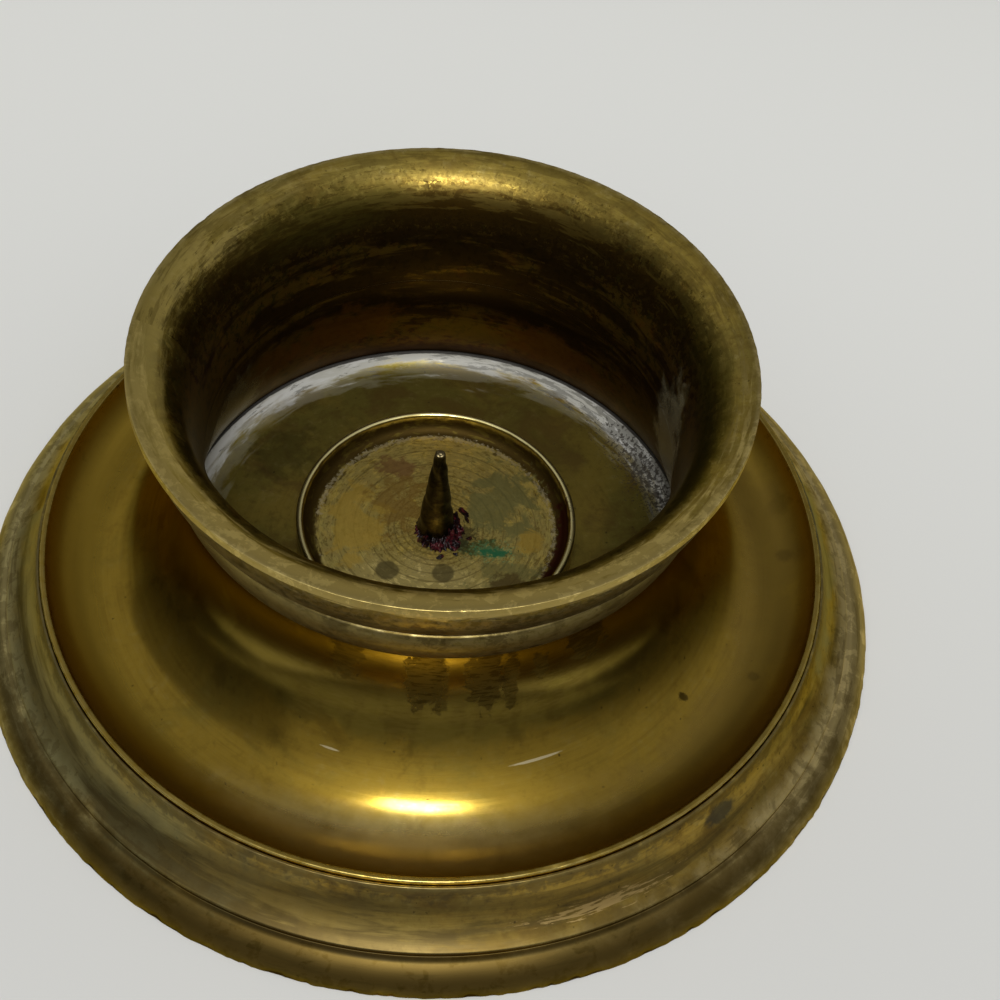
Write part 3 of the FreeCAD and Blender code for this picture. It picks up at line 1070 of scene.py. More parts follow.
@dataclass
class FlaredCollar(TurnedPiece):
    """Collar with its flared lip and two beads."""

    name = "flared_collar_turned"
    node = "flared_collar"
    flare_width: float = 11.4
    flare_drop: float = 9.9
    lip_edge_height: float = 2.4
    lip_round: float = 0.5
    lip_quirk: float = 1.5
    band_step: float = 0.7
    band_height: float = 1.6
    lower_bead_step: float = 0.6
    lower_bead_width: float = 4.3
    lower_bead_height: float = 13.0
    lower_bead_bulge: float = 1.8
    groove_depth: float = 1.1
    groove_height: float = 1.4
    upper_bead_bulge: float = 1.7
    nicks: tuple[Place, ...] = ((-81.6, 0.9, 0.55), (-96.0, 0.8, 0.16), (-38.0, 0.7, 0.15), (150.0, 0.8, 0.2))
    segments: int = 480

    def outline(self) -> Outline:
        """Half section, up the throat, over the lip, down the beads and back round the spigot."""
        d = DATUMS
        recess = d.spigot_radius + d.fit
        band = d.neck_radius + self.band_step
        band_top = d.neck_top_z + self.band_height
        lower_bead = band + self.lower_bead_step
        groove = lower_bead + self.lower_bead_width
        groove_base = band_top + self.lower_bead_height
        groove_top = groove_base + self.groove_height
        lip_base = d.lip_z - self.lip_edge_height
        lip_inner = d.lip_radius - self.lip_round
        turn_at = np.array([lip_inner - self.flare_width, d.lip_z - self.flare_drop])
        bell_radius = upright_radius(turn_at[0] - d.throat_radius, turn_at[1] - d.spigot_top_z)
        bell = np.array([d.throat_radius + bell_radius, d.spigot_top_z])
        spoke = (bell - turn_at) / np.linalg.norm(bell - turn_at)
        chord = np.array([lip_inner, d.lip_z]) - turn_at
        flare_radius = float(chord @ chord) / (2 * float(chord @ spoke))
        flare = turn_at + spoke * flare_radius
        section = Section(recess, d.spigot_top_z, step=2.0)
        section.lines((recess, d.neck_top_z), (band, d.neck_top_z, 0.15))
        section.step = 0.6
        section.lines((band, band_top, 0.15), (lower_bead, band_top, 0.2))
        section.bulge(groove, groove_base, -self.lower_bead_bulge, soft=0.35)
        section.lines((groove - self.groove_depth, (groove_base + groove_top) / 2, 0.2), (groove, groove_top, 0.35))
        section.bulge(d.lip_radius - self.lip_quirk, lip_base, -self.upper_bead_bulge, soft=0.2)
        section.lines((d.lip_radius, lip_base, 0.2), (d.lip_radius, d.lip_z, 0.4), (lip_inner, d.lip_z, 0.15))
        section.arc(tuple(flare), turn_at[0], turn_at[1])
        section.step = 1.0
        section.arc(tuple(bell), d.throat_radius, d.spigot_top_z, soft=0.1)
        return section.sampled()

    def wear(self, radius: np.ndarray, height: np.ndarray, angle: np.ndarray) -> np.ndarray:
        """Depth of the nick at the front of the lip and of slight knocks along it."""
        d = DATUMS
        edge = rim_bell(radius, height, (d.lip_radius, d.lip_z), 0.6)
        depth = edge * ragged_ring(21, (30, 150, 30), 0.09)(angle)
        return nicked(depth, self.nicks, (d.lip_radius, d.lip_z - 0.3), 0.8, (radius, height, angle))


@dataclass
class WaxPan(TurnedPiece):
    """Pan round the candle cup, with its coved rim."""

    name = "wax_pan_turned"
    node = "wax_pan"
    slot = Slot.PAN
    bore: float = 3.1
    edge_gap: float = 0.4
    cove_width: float = 6.5
    cove_height: float = 3.6
    segments: int = 384

    def outline(self) -> Outline:
        """Half section, from the bore under the floor, up the rim, down the cove and back over the floor."""
        d = DATUMS
        rim = d.shoulder_radius - self.edge_gap
        cove_foot = rim - self.cove_width
        cove_radius = upright_radius(self.cove_height, self.cove_width)
        section = Section(self.bore, d.pan_floor_z, step=3.0)
        section.under = 1.0
        section.lines((self.bore, d.pan_base_z), (d.pan_radius, d.pan_base_z), (d.pan_radius, d.pan_rim_z))
        section.under = 0.0
        section.line(rim, d.pan_rim_z, soft=0.15)
        section.step = 0.5
        section.arc((cove_foot, d.pan_floor_z + cove_radius), cove_foot, d.pan_floor_z)
        section.step = 1.0
        section.line(self.bore, d.pan_floor_z, soft=0.1)
        return section.sampled()


@dataclass
class CandleCup(TurnedPiece):
    """Shallow candle seat with its thin round rim, on a skirt and a boss."""

    name = "candle_cup_turned"
    node = "candle_cup"
    slot = Slot.PAN
    radius: float = 35.2
    rim_thickness: float = 1.7
    rim_height: float = 5.1
    cove_radius: float = 3.2
    floor: float = 3.0
    skirt_wall: float = 2.6
    boss_radius: float = 9.0
    bore: float = 3.1
    spike_bore: float = 5.0
    segments: int = 480

    def outline(self) -> Outline:
        """Half section, from the spike's seat down through the boss, up the skirt, over the rim and back."""
        d = DATUMS
        rim_round = self.rim_thickness / 2
        wall = self.radius - self.rim_thickness
        cove_foot = wall - self.cove_radius
        rim_centre = (wall + rim_round, d.cup_floor_z + self.rim_height - rim_round)
        ceiling = d.cup_floor_z - self.floor
        skirt = self.radius - self.skirt_wall
        section = Section(self.spike_bore, d.spike_seat_z, step=3.0)
        section.under = 1.0
        section.lines((self.bore, d.spike_seat_z), (self.bore, d.pan_floor_z), (self.boss_radius, d.pan_floor_z),
                      (self.boss_radius, ceiling), (skirt, ceiling), (skirt, d.pan_floor_z))
        section.under = 0.0
        section.line(self.radius, d.pan_floor_z, soft=0.15)
        section.step = 0.9
        section.line(self.radius, rim_centre[1])
        section.step = 0.22
        section.arc(rim_centre, rim_centre[0], rim_centre[1] + rim_round)
        section.arc(rim_centre, wall, rim_centre[1])
        section.step = 0.35
        section.line(wall, d.cup_floor_z + self.cove_radius)
        section.arc((cove_foot, d.cup_floor_z + self.cove_radius), cove_foot, d.cup_floor_z)
        section.step = 0.9
        section.line(self.spike_bore, d.cup_floor_z, soft=0.1)
        return section.sampled()


@dataclass
class Pricket(TurnedPiece):
    """Tapered spike with a blunt tip, and its threaded stud."""

    name = "pricket_spike_and_stud"
    node = "pricket"
    slot = Slot.SPIKE
    spike_height: float = 29.0
    spike_radius: float = 4.9
    tip_radius: float = 1.35
    stud_radius: float = 3.0
    stud_base_z: float = 5.9
    pitch: float = 1.0
    thread_depth: float = 0.55
    segments: int = 160

    def outline(self) -> Outline:
        """Half section from the stud's end, up its side, the seat and the spike to the tip."""
        d = DATUMS
        tip_z = d.cup_floor_z + self.spike_height
        section = Section(0, self.stud_base_z, step=0.6)
        section.under = 1.0
        section.line(self.stud_radius - 0.5, self.stud_base_z, soft=0.1)
        section.step = 0.14
        section.lines((self.stud_radius, self.stud_base_z + 0.5, 0.1), (self.stud_radius, d.pan_base_z, 0.1))
        section.step = 2.0
        section.lines((self.stud_radius, d.spike_seat_z), (self.spike_radius, d.spike_seat_z))
        section.under = 0.0
        section.line(self.spike_radius, d.cup_floor_z, soft=0.2)
        section.step = 0.3
        section.line(self.tip_radius, tip_z - 0.35, soft=0.3)
        section.step = 0.15
        section.lines((self.tip_radius - 0.45, tip_z - 0.05, 0.15), (0, tip_z))
        return section.sampled(closed=False)

    def wear(self, radius: np.ndarray, height: np.ndarray, angle: np.ndarray) -> np.ndarray:
        """Depth of the stud's thread and of the spike's hammered, pitted skin.

        The thread's depth is its full depth times the distance of (height / pitch - angle / one turn) from the
        nearest whole number, doubled.
        """
        turns = height / self.pitch - angle / TURN
        saw = np.abs(turns - np.round(turns)) * 2
        on_stud = (radius > self.stud_radius - 0.6) & (height < DATUMS.pan_base_z - 0.6)
        thread = self.thread_depth * saw * on_stud * (radius < self.stud_radius + 0.1)
        on_spike = np.clip((height - DATUMS.cup_floor_z - 0.2) / 2.0, 0, 1) * (radius > 0.4)
        rng = np.random.default_rng(31)
        skin = np.zeros_like(radius)
        for wave, rate in zip(rng.integers(1, 5, 12), rng.uniform(0.25, 1.6, 12)):
            skin = skin + np.cos(wave * angle + rate * height + rng.uniform(0, PHASE))
        return thread + on_spike * (0.14 + 0.035 * skin).clip(0, 0.4)


@dataclass
class Fasteners:
    """Washer and nut under the pan, which keep their solids and get their finish."""

    def build(self, finish: DullSteel) -> None:
        """Dress the washer and the nut."""
        material = finish.make()
        for name in ("clamp_washer", "clamp_nut"):
            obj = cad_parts[name]
            obj.data.materials.clear()
            obj.data.materials.append(material)
            log.info("%s: finish only", name)


@dataclass
class WaxResidue:
    """Broken skirt of old wax round the spike's foot, and crumbs on the cup's floor.

    Each lobe of the skirt is its angle, its half width, how far it reaches out and its height, and each crumb is
    x, y, half length, half width, height and turn, all in degrees and millimetres.
    """

    lobes: tuple[tuple[float, float, float, float], ...] = (
        (-150.0, 20.0, 0.6, 0.8), (-118.0, 17.0, 1.4, 1.4), (-88.0, 17.0, 2.4, 1.8), (-60.0, 16.0, 2.9, 2.0),
        (-34.0, 15.0, 2.5, 2.6), (-8.0, 14.0, 1.9, 2.8), (20.0, 14.0, 0.9, 1.4), (60.0, 20.0, 0.4, 0.6))
    crumbs: tuple[tuple[float, float, float, float, float, float], ...] = (
        (6.7, 5.0, 1.9, 0.45, 1.3, -35.0), (7.6, 3.2, 1.3, 0.4, 1.0, -62.0), (5.6, 6.4, 0.9, 0.35, 0.7, 10.0),
        (2.2, -9.4, 1.0, 0.6, 0.5, 20.0), (8.9, -2.6, 0.9, 0.6, 0.8, 30.0), (5.6, -8.0, 0.7, 0.5, 0.5, -20.0))
    pieces: int = 34
    inner_radius: float = 3.9
    spike_edge: float = 4.4
    least_reach: float = 0.7
    segments: int = 216
    rows: int = 20
    crumb_grid: tuple[int, int] = (14, 28)

    def _skirt(self) -> tuple[np.ndarray, list[np.ndarray]]:
        """Vertices and faces of the skirt.

        At angle a the skirt reaches out by the sum of its lobes' bell curves, and at share s of that reach its
        height is the lobes' height times (1 - s^1.5), times one plus a seeded sum of sharp waves of x and y.
        """
        rng = np.random.default_rng(43)
        angle = np.arange(self.segments) * TURN / self.segments
        reach, tall = np.full(self.segments, self.least_reach), np.full(self.segments, 0.25)
        for degrees, half, out, high in self.lobes:
            bell = np.exp(-(turned_away(angle, degrees) / math.radians(half)) ** 2)
            reach, tall = reach + out * bell, np.maximum(tall, high * bell)
        reach = reach * (0.72 + ragged_ring(44, (6, 40, 20), 0.5)(angle))
        tall = tall * (0.65 + ragged_ring(45, (5, 30, 16), 0.6)(angle))
        share = np.linspace(1, 0, self.rows)[:, None]
        radius = self.spike_edge + reach * share
        height = tall * (1 - share ** 1.5)
        x, y = radius * np.cos(angle), radius * np.sin(angle)
        chop = np.zeros_like(x)
        for rate in rng.uniform(0.7, 2.6, 9):
            way = rng.uniform(0, TURN)
            chop += 0.6 - np.abs(np.sin(rate * (x * math.cos(way) + y * math.sin(way)) + rng.uniform(0, PHASE)))
        height = height * np.clip(1 + 0.16 * chop, 0.35, 1.6)
        low = DATUMS.cup_floor_z + 0.01
        top = np.stack([x, y, low + height], -1)
        inner = np.stack([self.inner_radius * np.cos(angle), self.inner_radius * np.sin(angle)], -1)
        foot = np.concatenate([inner, np.full((self.segments, 1), low)], -1)[None]
        crown = np.concatenate([inner, (low + tall)[:, None]], -1)[None]
        grid = np.concatenate([foot, top, crown])
        index = np.arange(grid.shape[0] * self.segments).reshape(grid.shape[0], self.segments)
        return grid.reshape(-1, 3), [round_quads(index, np.roll(index, -1, 0))]

    def _crumbs(self) -> tuple[np.ndarray, list[np.ndarray]]:
        """Vertices and faces of the crumbs.

        Along the unit direction w = (cos v cos u, cos v sin u, sin v) a crumb reaches out to the nearest of eleven
        seeded planes, the least d / (w . n), times its half sizes, and is cut off just under the floor.
        """
        rows, cols = self.crumb_grid
        v = np.linspace(-math.pi / 2, math.pi / 2, rows)[1:-1, None]
        u = (np.arange(cols) * TURN / cols)[None, :]
        index = np.arange((rows - 2) * cols).reshape(rows - 2, cols)
        quads, caps = round_quads(index[:-1], index[1:]), end_fans(index, (rows - 2) * cols)
        verts, faces = [], [[], []]
        rng = np.random.default_rng(41)
        way = np.stack([np.cos(v) * np.cos(u), np.cos(v) * np.sin(u),
                        np.broadcast_to(np.sin(v), (rows - 2, cols))], -1)
        for number, (x, y, long, wide, tall, degrees) in enumerate(self.crumbs + self._broken_pieces()):
            planes = rng.normal(size=(11, 3))
            planes /= np.linalg.norm(planes, axis=1)[:, None]
            reach = (rng.uniform(0.5, 1.0, 11) / np.maximum(way @ planes.T, 0.05)).min(-1).clip(0.3, 1.3)
            body = way * reach[..., None] * (long, wide, tall)
            body[..., 2] = np.maximum(body[..., 2], -0.06 * tall)
            ends = np.stack([body[0].mean(0), body[-1].mean(0)])
            local = np.concatenate([body.reshape(-1, 3), ends])
            c, s = math.cos(math.radians(degrees)), math.sin(math.radians(degrees))
            local = np.stack([local[:, 0] * c - local[:, 1] * s + x, local[:, 0] * s + local[:, 1] * c + y,
                              local[:, 2] + DATUMS.cup_floor_z + 0.02], 1)
            base = number * len(local)
            verts.append(local)
            faces[0].append(quads + base)
            faces[1].extend(cap + base for cap in caps)
        return np.concatenate(verts), [np.concatenate(faces[0]), np.concatenate(faces[1])]

    def _broken_pieces(self) -> tuple[tuple[float, float, float, float, float, float], ...]:
        """Seeded pieces heaped against the spike, most of them at its front right, lower further out."""
        rng = np.random.default_rng(47)
        made = []
        for _ in range(self.pieces):
            angle = math.radians(np.clip(rng.normal(-52.0, 46.0), -165.0, 35.0))
            out = rng.uniform(0, 1) * (1.0 + 2.6 * math.exp(-((angle + 0.9) / 0.9) ** 2))
            radius, size = self.spike_edge + 0.4 + out, rng.uniform(0.6, 1.35)
            made.append((radius * math.cos(angle), radius * math.sin(angle), size, size * rng.uniform(0.45, 0.8),
                         max(0.5, 3.6 - 1.05 * out) * rng.uniform(0.6, 1.0), math.degrees(rng.uniform(0, PHASE))))
        return tuple(made)

    def build(self, finish: OldWax) -> None:
        """Make and dress the skirt and the crumbs."""
        material = finish.make()
        for name, (verts, faces) in (("wax_skirt", self._skirt()), ("wax_crumbs", self._crumbs())):
            obj = new_object(name, verts * MM, faces)
            obj.data.polygons.foreach_set("use_smooth", np.zeros(len(obj.data.polygons), bool))
            settle(obj, material, Slot.PAN)


# ---------------------------------------------------------------- studio

@dataclass(frozen=True)
class Panel:
    """Soft square lamp: where it stands, its size and its strength."""

    name: str
    place: Place
    size: Point
    watts: float


@dataclass
class Studio:
    """Pale floor, soft lamp, dim room and the camera.

    The camera sees the floor pale all over. In the brass it is pale only as far as a cloth's edge, and darker past
    it. The room is dimmer low down at the sides, lighter low down behind the stand, and brightest round the lamp.
    """

    floor_colour: Colour = (0.90, 0.91, 0.895)
    # Painted shade: the floor's front part is darker.
    shaded_near_floor_colour: Colour = (0.70, 0.705, 0.695)
    table_colour: Colour = (0.060, 0.052, 0.042)
    front_table_colour: Colour = (0.30, 0.29, 0.255)
    cloth_middle: Place = (0.005, 0.085, 0.0)
    cloth_half: Place = (0.185, 0.225, 1.0)
    floor_radius: float = 4.0
    zenith: Colour = (0.370, 0.366, 0.350)
    side: Colour = (0.075, 0.070, 0.060)
    front: Colour = (0.240, 0.230, 0.200)
    back_low: Colour = (0.38, 0.37, 0.34)
    back_high: Colour = (0.185, 0.180, 0.165)
    glow: Colour = (0.48, 0.47, 0.43)
    lamps: tuple[Panel, ...] = (
        Panel("front_panel", (0.06, -0.95, 1.40), (0.42, 0.36), 15.5),
    )
    camera_place: Place = (0.015474, -0.267094, 0.363090)
    camera_turn: Place = (39.15777, -3.83768, 4.69846)
    lens: float = 61.2

    def build(self) -> None:
        """Make the floor, the lamps, the world and the camera."""
        self._floor()
        for lamp in self.lamps:
            self._lamp(lamp)
        self._world()
        data = bpy.data.cameras.new("studio_camera")
        data.lens, data.sensor_width = self.lens, 36.0
        data.clip_start, data.clip_end = 0.01, 20.0
        camera = bpy.data.objects.new("studio_camera", data)
        camera.location = self.camera_place
        camera.rotation_euler = [math.radians(a) for a in self.camera_turn]
        bpy.context.scene.collection.objects.link(camera)
        bpy.context.scene.camera = camera
        bpy.context.scene.view_settings.view_transform = "Standard"

    def _floor(self) -> None:
        """Round floor under the stand."""
        angle = np.linspace(0, TURN, 97)[:-1]
        ring = np.stack([np.cos(angle), np.sin(angle), np.zeros(96)], 1) * self.floor_radius
        obj = new_object("floor", ring, [np.arange(96)[None, :]])
        sheet = Sheet("pale_floor")
        graph, place = sheet.graph, sheet.metres
        away = graph.vector("DIVIDE", graph.vector("SUBTRACT", place, self.cloth_middle), self.cloth_half)
        parts = graph.add("ShaderNodeSeparateXYZ", {0: graph.vector("ABSOLUTE", away)}).outputs
        past = graph.span(graph.maths("MAXIMUM", parts[0], parts[1]), 0.97, 1.08)
        unseen = graph.minus(1.0, graph.add("ShaderNodeLightPath").outputs["Is Camera Ray"])
        depth = graph.add("ShaderNodeSeparateXYZ", {0: place}).outputs[1]
        # The floor is painted darker towards the front, as painted shade.
        pale = graph.blend(graph.span(depth, -0.16, 0.28), self.shaded_near_floor_colour, self.floor_colour)
        table = graph.blend(graph.span(depth, -0.11, -0.24), self.table_colour, self.front_table_colour)
        colour = graph.blend(graph.times(past, unseen), pale, table)
        sheet.feed({"Base Color": colour, "Roughness": 0.9, "Specular IOR Level": 0.2})
        obj.data.materials.append(sheet.material)

    def _lamp(self, panel: Panel) -> None:
        """One area lamp that faces the stand."""
        data = bpy.data.lights.new(panel.name, "AREA")
        data.shape, data.size, data.size_y, data.energy = "RECTANGLE", panel.size[0], panel.size[1], panel.watts
        lamp = bpy.data.objects.new(panel.name, data)
        lamp.location = panel.place
        away = np.array(panel.place) - np.array([0, 0, 0.04])
        flat = math.hypot(away[0], away[1])
        lamp.rotation_euler = (math.atan2(flat, away[2]), 0.0, math.atan2(away[0], -away[1]))
        bpy.context.scene.collection.objects.link(lamp)

    def _world(self) -> None:
        """Soft light from above, with a glow round the lamp, a dim upper back and a dark low left side."""
        world = bpy.data.worlds.new("studio_world")
        world.use_nodes = True
        graph = Graph(world.node_tree)
        way = graph.add("ShaderNodeTexCoord").outputs["Generated"]
        parts = graph.add("ShaderNodeSeparateXYZ", {0: way}).outputs
        level = graph.vector("NORMALIZE", graph.vector("MULTIPLY", way, (1.0, 1.0, 0.0)))
        ahead = graph.vector("DOT_PRODUCT", level, (0.0, -1.0, 0.0))
        left = graph.vector("DOT_PRODUCT", level, (-0.97, -0.24, 0.0))
        rise = parts[2]
        sky = graph.blend(graph.span(rise, 0.02, 0.55), self.side, self.zenith)
        near = graph.blend(graph.span(rise, 0.05, 0.6), self.front, self.zenith)
        sky = graph.blend(graph.span(ahead, 0.35, 0.95), sky, near)
        behind = graph.span(ahead, -0.72, -0.97)
        back = graph.blend(graph.span(rise, 0.30, 0.52), self.back_low, self.back_high)
        sky = graph.blend(graph.times(behind, graph.span(rise, 0.99, 0.90)), sky, back)
        dark = graph.times(graph.span(left, 0.80, 0.86), graph.span(rise, 0.60, 0.53))
        sky = graph.blend(graph.times(dark, 0.60), sky, (0.02, 0.017, 0.012))
        toward = np.array(self.lamps[0].place) - np.array([0.0, 0.0, 0.04])
        toward = tuple(float(v) for v in toward / np.linalg.norm(toward))
        shine = graph.span(graph.vector("DOT_PRODUCT", way, toward), 0.78, 1.0)
        sky = graph.vector("ADD", sky, graph.vector("SCALE", self.glow, shine))
        graph.join(sky, world.node_tree.nodes["Background"].inputs[0])
        bpy.context.scene.world = world


# ---------------------------------------------------------------- the stand's finishes

FILM = (0.46, 0.455, 0.41)
SOOT_AND_SHADE = (0.016, 0.009, 0.003)
UMBER = (0.044, 0.026, 0.0045)
DRIP = (0.042, 0.027, 0.006)
RUSSET = (0.130, 0.058, 0.008)
REDDISH = (0.125, 0.052, 0.008)
OCHRE = (0.52, 0.34, 0.055)
MOSS = (0.110, 0.092, 0.016)
GREY = (0.240, 0.228, 0.108)
HAZE = (0.225, 0.220, 0.170)
SCRATCH = (0.85, 0.72, 0.44)
VERDIGRIS = (0.003, 0.075, 0.030)
ALL_ROUND = 1.0e5

# The wall inside neck and collar: brown film darkened all round with painted shade of the deep neck, soot and
# reddish patches, pale haze low at the sides, a dark joint, and painted shade along the seam with the pan.
WALL = (
    # The first coats darken the whole inner wall: partly brown film, partly painted shade of the deep neck.
    Stain(INNER, (60, 0, 42), (16, ALL_ROUND, 38), UMBER, 0.95, 0.1, 0.12, rough=0.36, metal=0.85),
    Stain(DRAWN, (56.5, 0, 66), (6.4, ALL_ROUND, 12.5), UMBER, 0.92, 0.6, 0.9, rough=0.36, metal=0.85),
    Stain(INNER, (60, 0, 36), (16, ALL_ROUND, 26), RUSSET, 0.75, 1.8, 0.11, 0.15),
    Stain(INNER, (60, 0, 44), (16, ALL_ROUND, 36), SOOT_AND_SHADE, 0.7, 2.2, 0.13, 0.15),
    Stain(INNER, (60, 0, 58), (16, ALL_ROUND, 26), (0.048, 0.042, 0.007), 0.6, 2.8, 0.24, 0.2),
    Stain(INNER, (60, 0, 52), (16, ALL_ROUND, 36), (0.135, 0.08, 0.013), 0.5, 3.4, 0.5, 0.12),
    Stain(INNER_DRAWN, (60, 92, 58), (9, 74, 13.5), SOOT_AND_SHADE, 0.86, 1.2, 0.26, 0.35),
    Stain(INNER_DRAWN, (57, 85, 50), (8, 48, 3.2), SOOT_AND_SHADE, 0.7, 0.7, 0.25, 0.5),
    Stain(INNER_DRAWN, (62, 0, 22), (9, ALL_ROUND, 4.5), (0.034, 0.021, 0.005), 0.75, 0.8, 0.3, 0.6),
    Stain(INNER, (60, 122, 41), (9, 15, 8), REDDISH, 0.6, 0.6, 0.2, 0.3),
    Stain(INNER, (60, 66, 37), (9, 15, 9), REDDISH, 0.6, 0.6, 0.2, 0.3),
    Stain(INNER, (60, 88, 34), (9, 12, 7), (0.12, 0.088, 0.014), 0.5, 0.8, 0.25, 0.3),
    Stain(INNER, (60, 146, 40), (9, 9, 7), REDDISH, 0.5, 0.6, 0.2, 0.3),
    Stain(INNER, (57, 0, 56), (2, ALL_ROUND, 0.45), SOOT_AND_SHADE, 0.85, 0.15, 0.3),
    Stain(INNER, (60, 163, 33), (9, 14, 14), HAZE, 0.75, 0.6, 0.14, 0.3, rough=0.16),
    Stain(INNER, (60, 12, 49), (9, 11, 18), (0.54, 0.53, 0.42), 0.85, 0.45, 0.14, 0.3, rough=0.18),
    # Painted shade: a black ring in the gap between the wall and the pan's rim.
    Stain(TURNED, (65.9, 0, 19.8), (1.5, ALL_ROUND, 0.75), (0.012, 0.009, 0.006), 0.95, 0.12, 0.3, rough=0.7),
)

# Runs of old grease under the beads: degrees, height, half width in degrees, half drop, strength.
DRIPS = (
    (-87, 46, 4.4, 11, 0.78), (-83.5, 43, 1.8, 10.5, 0.6), (-74, 45, 4.2, 11, 0.78), (-68.5, 42.5, 2, 9, 0.6),
    (-61.5, 44, 1.9, 4, 0.6), (-49.5, 48, 5.2, 8.5, 0.7), (-104.5, 48, 3.6, 8, 0.5))

# The foot: coats of wear on its left, right and front, then grey film, dark runs along the bead and a dark spot.
FOOT = TurnedBrass(
    "foot_brass", polished=(0.400, 0.265, 0.052), olive=(0.290, 0.210, 0.052), brown=(0.150, 0.090, 0.024),
    rough=0.34, dull_rough=0.44, olive_cover=0.44, brown_cover=0.36, brown_grain=0.07, specks=0.4, streaks=0.6,
    grime_and_shade=0.35, mottle=0.6, line_depth=0.7, wear=0.55, edge=(0.72, 0.62, 0.35),
    coats=(
        Stain(TURNED, (110.5, 172, 6), (6, 52, 7), (0.62, 0.54, 0.25), 0.75, 0.4, 0.1, 0.4),
        Stain(TURNED, (110.5, -158, 6), (6, 44, 7), (0.62, 0.54, 0.25), 0.75, 0.4, 0.1, 0.4),
        Stain(TURNED, (110.5, 0, 6), (6, 62, 7), (0.7, 0.57, 0.27), 0.75, 0.4, 0.1, 0.4),
        Stain(TURNED, (108, -90, 6.5), (9, 52, 5), (0.095, 0.064, 0.017), 0.8, 0.3, 0.12, 0.4),
    ),
    stains=(
        Stain(TURNED, (105, -150, 17), (9, 44, 9), GREY, 0.65, 0.5, 0.05, 0.4, rough=0.42),
        Stain(TURNED, (103, 112, 16), (9, 50, 12), GREY, 0.65, 0.5, 0.06, rough=0.36),
        Stain(TURNED, (102, 14, 17), (7, 26, 7), GREY, 0.65, 0.5, 0.08, rough=0.36),
        Stain(TURNED, (112, -90, 3.6), (5, 70, 6), (0.048, 0.031, 0.006), 0.92, 0.3, 0.12, 0.5, rough=0.46),
        Stain(DRAWN, (112, -90, 4), (5, 70, 5.4), (0.105, 0.066, 0.015), 0.4, 2.8, 0.3, 0.2),
        Stain(TURNED, (112, 0, 4.5), (5, ALL_ROUND, 5), (0.12, 0.082, 0.024), 0.4, 2.6, 0.24, 0.35, rough=0.45),
        Stain(TURNED, (99.5, 0, 21.4), (1.6, ALL_ROUND, 3), (0.06, 0.05, 0.035), 0.5, 1.4, 0.35, 0.5),
        Stain(TURNED, (101.5, -43, 16.5), (2.2, 2.6, 3), (0.05, 0.05, 0.04), 0.8, 0.3, 0.4),
        Stain(DRAWN, (105, -90, 11.5), (4, 60, 4), (0.085, 0.062, 0.024), 0.65, 2, 0.12, 0.4),
        Stain(DRAWN, (103.5, -99, 13), (3, 14, 3), (0.4, 0.29, 0.08), 0.4, 0.9, 0.6, 0.5),
        Stain(DRAWN, (104.4, -62.5, 11.4), (1, 5.5, 1.1), (0.66, 0.46, 0.18), 0.6, 2.2, 1.8, rough=0.3),
        Stain(DRAWN, (101, -90, 16.5), (3, 26, 3.2), (0.095, 0.07, 0.028), 0.4, 1.2, 0.3),
    ))

# The tray and neck: brighter valley, a painted highlight at the front of the gutter, darker neck with its runs,
# small dark spots and two scratches.
TRAY = TurnedBrass(
    "tray_brass", polished=(0.380, 0.250, 0.034), olive=(0.270, 0.192, 0.032), brown=(0.160, 0.088, 0.013),
    rough=0.15, dull_rough=0.24, olive_cover=0.36, brown_cover=0.16, streaks=0.45, line_depth=0.30, mottle=0.28,
    edge=(0.52, 0.42, 0.20),
    stains=WALL + (
        Stain(TURNED, (91.5, 0, 18.5), (7, ALL_ROUND, 6), (0.48, 0.32, 0.044), 0.75, 0.15, 0.1, 0.35, rough=0.42),
        Stain(OUTER, (60.5, 0, 40), (7, ALL_ROUND, 20), (0.225, 0.168, 0.03), 0.85, 0.35, 0.06, rough=0.15),
        Stain(OUTER, (61, -140, 46), (9, 40, 15), (0.37, 0.275, 0.05), 0.65, 0.5, 0.1, 0.5),
        Stain(OUTER, (60, 0, 47), (9, ALL_ROUND, 18), (0.12, 0.072, 0.012), 0.4, 1.6, 0.1, 0.45),
        *(Stain(TURNED, (60, angle, height), (5, wide, drop), DRIP, strength, 0.55, 0.42, 0.12, rough=0.32)
          for angle, height, wide, drop, strength in DRIPS),
        Stain(DRAWN, (60, -85, 40), (6, 26, 12), (0.34, 0.25, 0.06), 0.22, 2.6, 1.4, 0.3),
        # Painted highlight: a soft pale glow at the front of the gutter.
        Stain(TURNED, (88, -88, 16), (6.5, 24, 5), (0.74, 0.6, 0.29), 0.55, 0.2, 0.2, 0.8, rough=0.4),
        Stain(SPOT, (64.4, -40.3, 19), (1.3, 1, 2), SOOT_AND_SHADE, 0.8, 0.4, 0.8),
        Stain(SPOT, (89.1, 24.3, 17.5), (3, 3.4, 4), SOOT_AND_SHADE, 0.35, 0.35, 0.5, 0.5, rough=0.4),
        Stain(SPOT, (90.7, 8.2, 16.8), (2, 1.9, 4), SOOT_AND_SHADE, 0.5, 0.35, 0.6, 0.5, rough=0.4),
        Stain(SPOT, (82, -30, 17), (1.6, 1.4, 4), SOOT_AND_SHADE, 0.5, 0.4, 0.6, 0.4),
        Stain(TURNED, (86, -8, 17), (9, 60, 5), (0.25, 0.165, 0.04), 0.6, 0.5, 0.09, 0.6, rough=0.36),
        Stain(TURNED, (69.9, -104.3, 24.2), (0.18, 1.8, 1.5), SCRATCH, 0.85, 0.15, 1.2),
        Stain(TURNED, (71, -64.9, 23.2), (0.24, 4.9, 1.5), SCRATCH, 0.9, 0.15, 1),
    ))
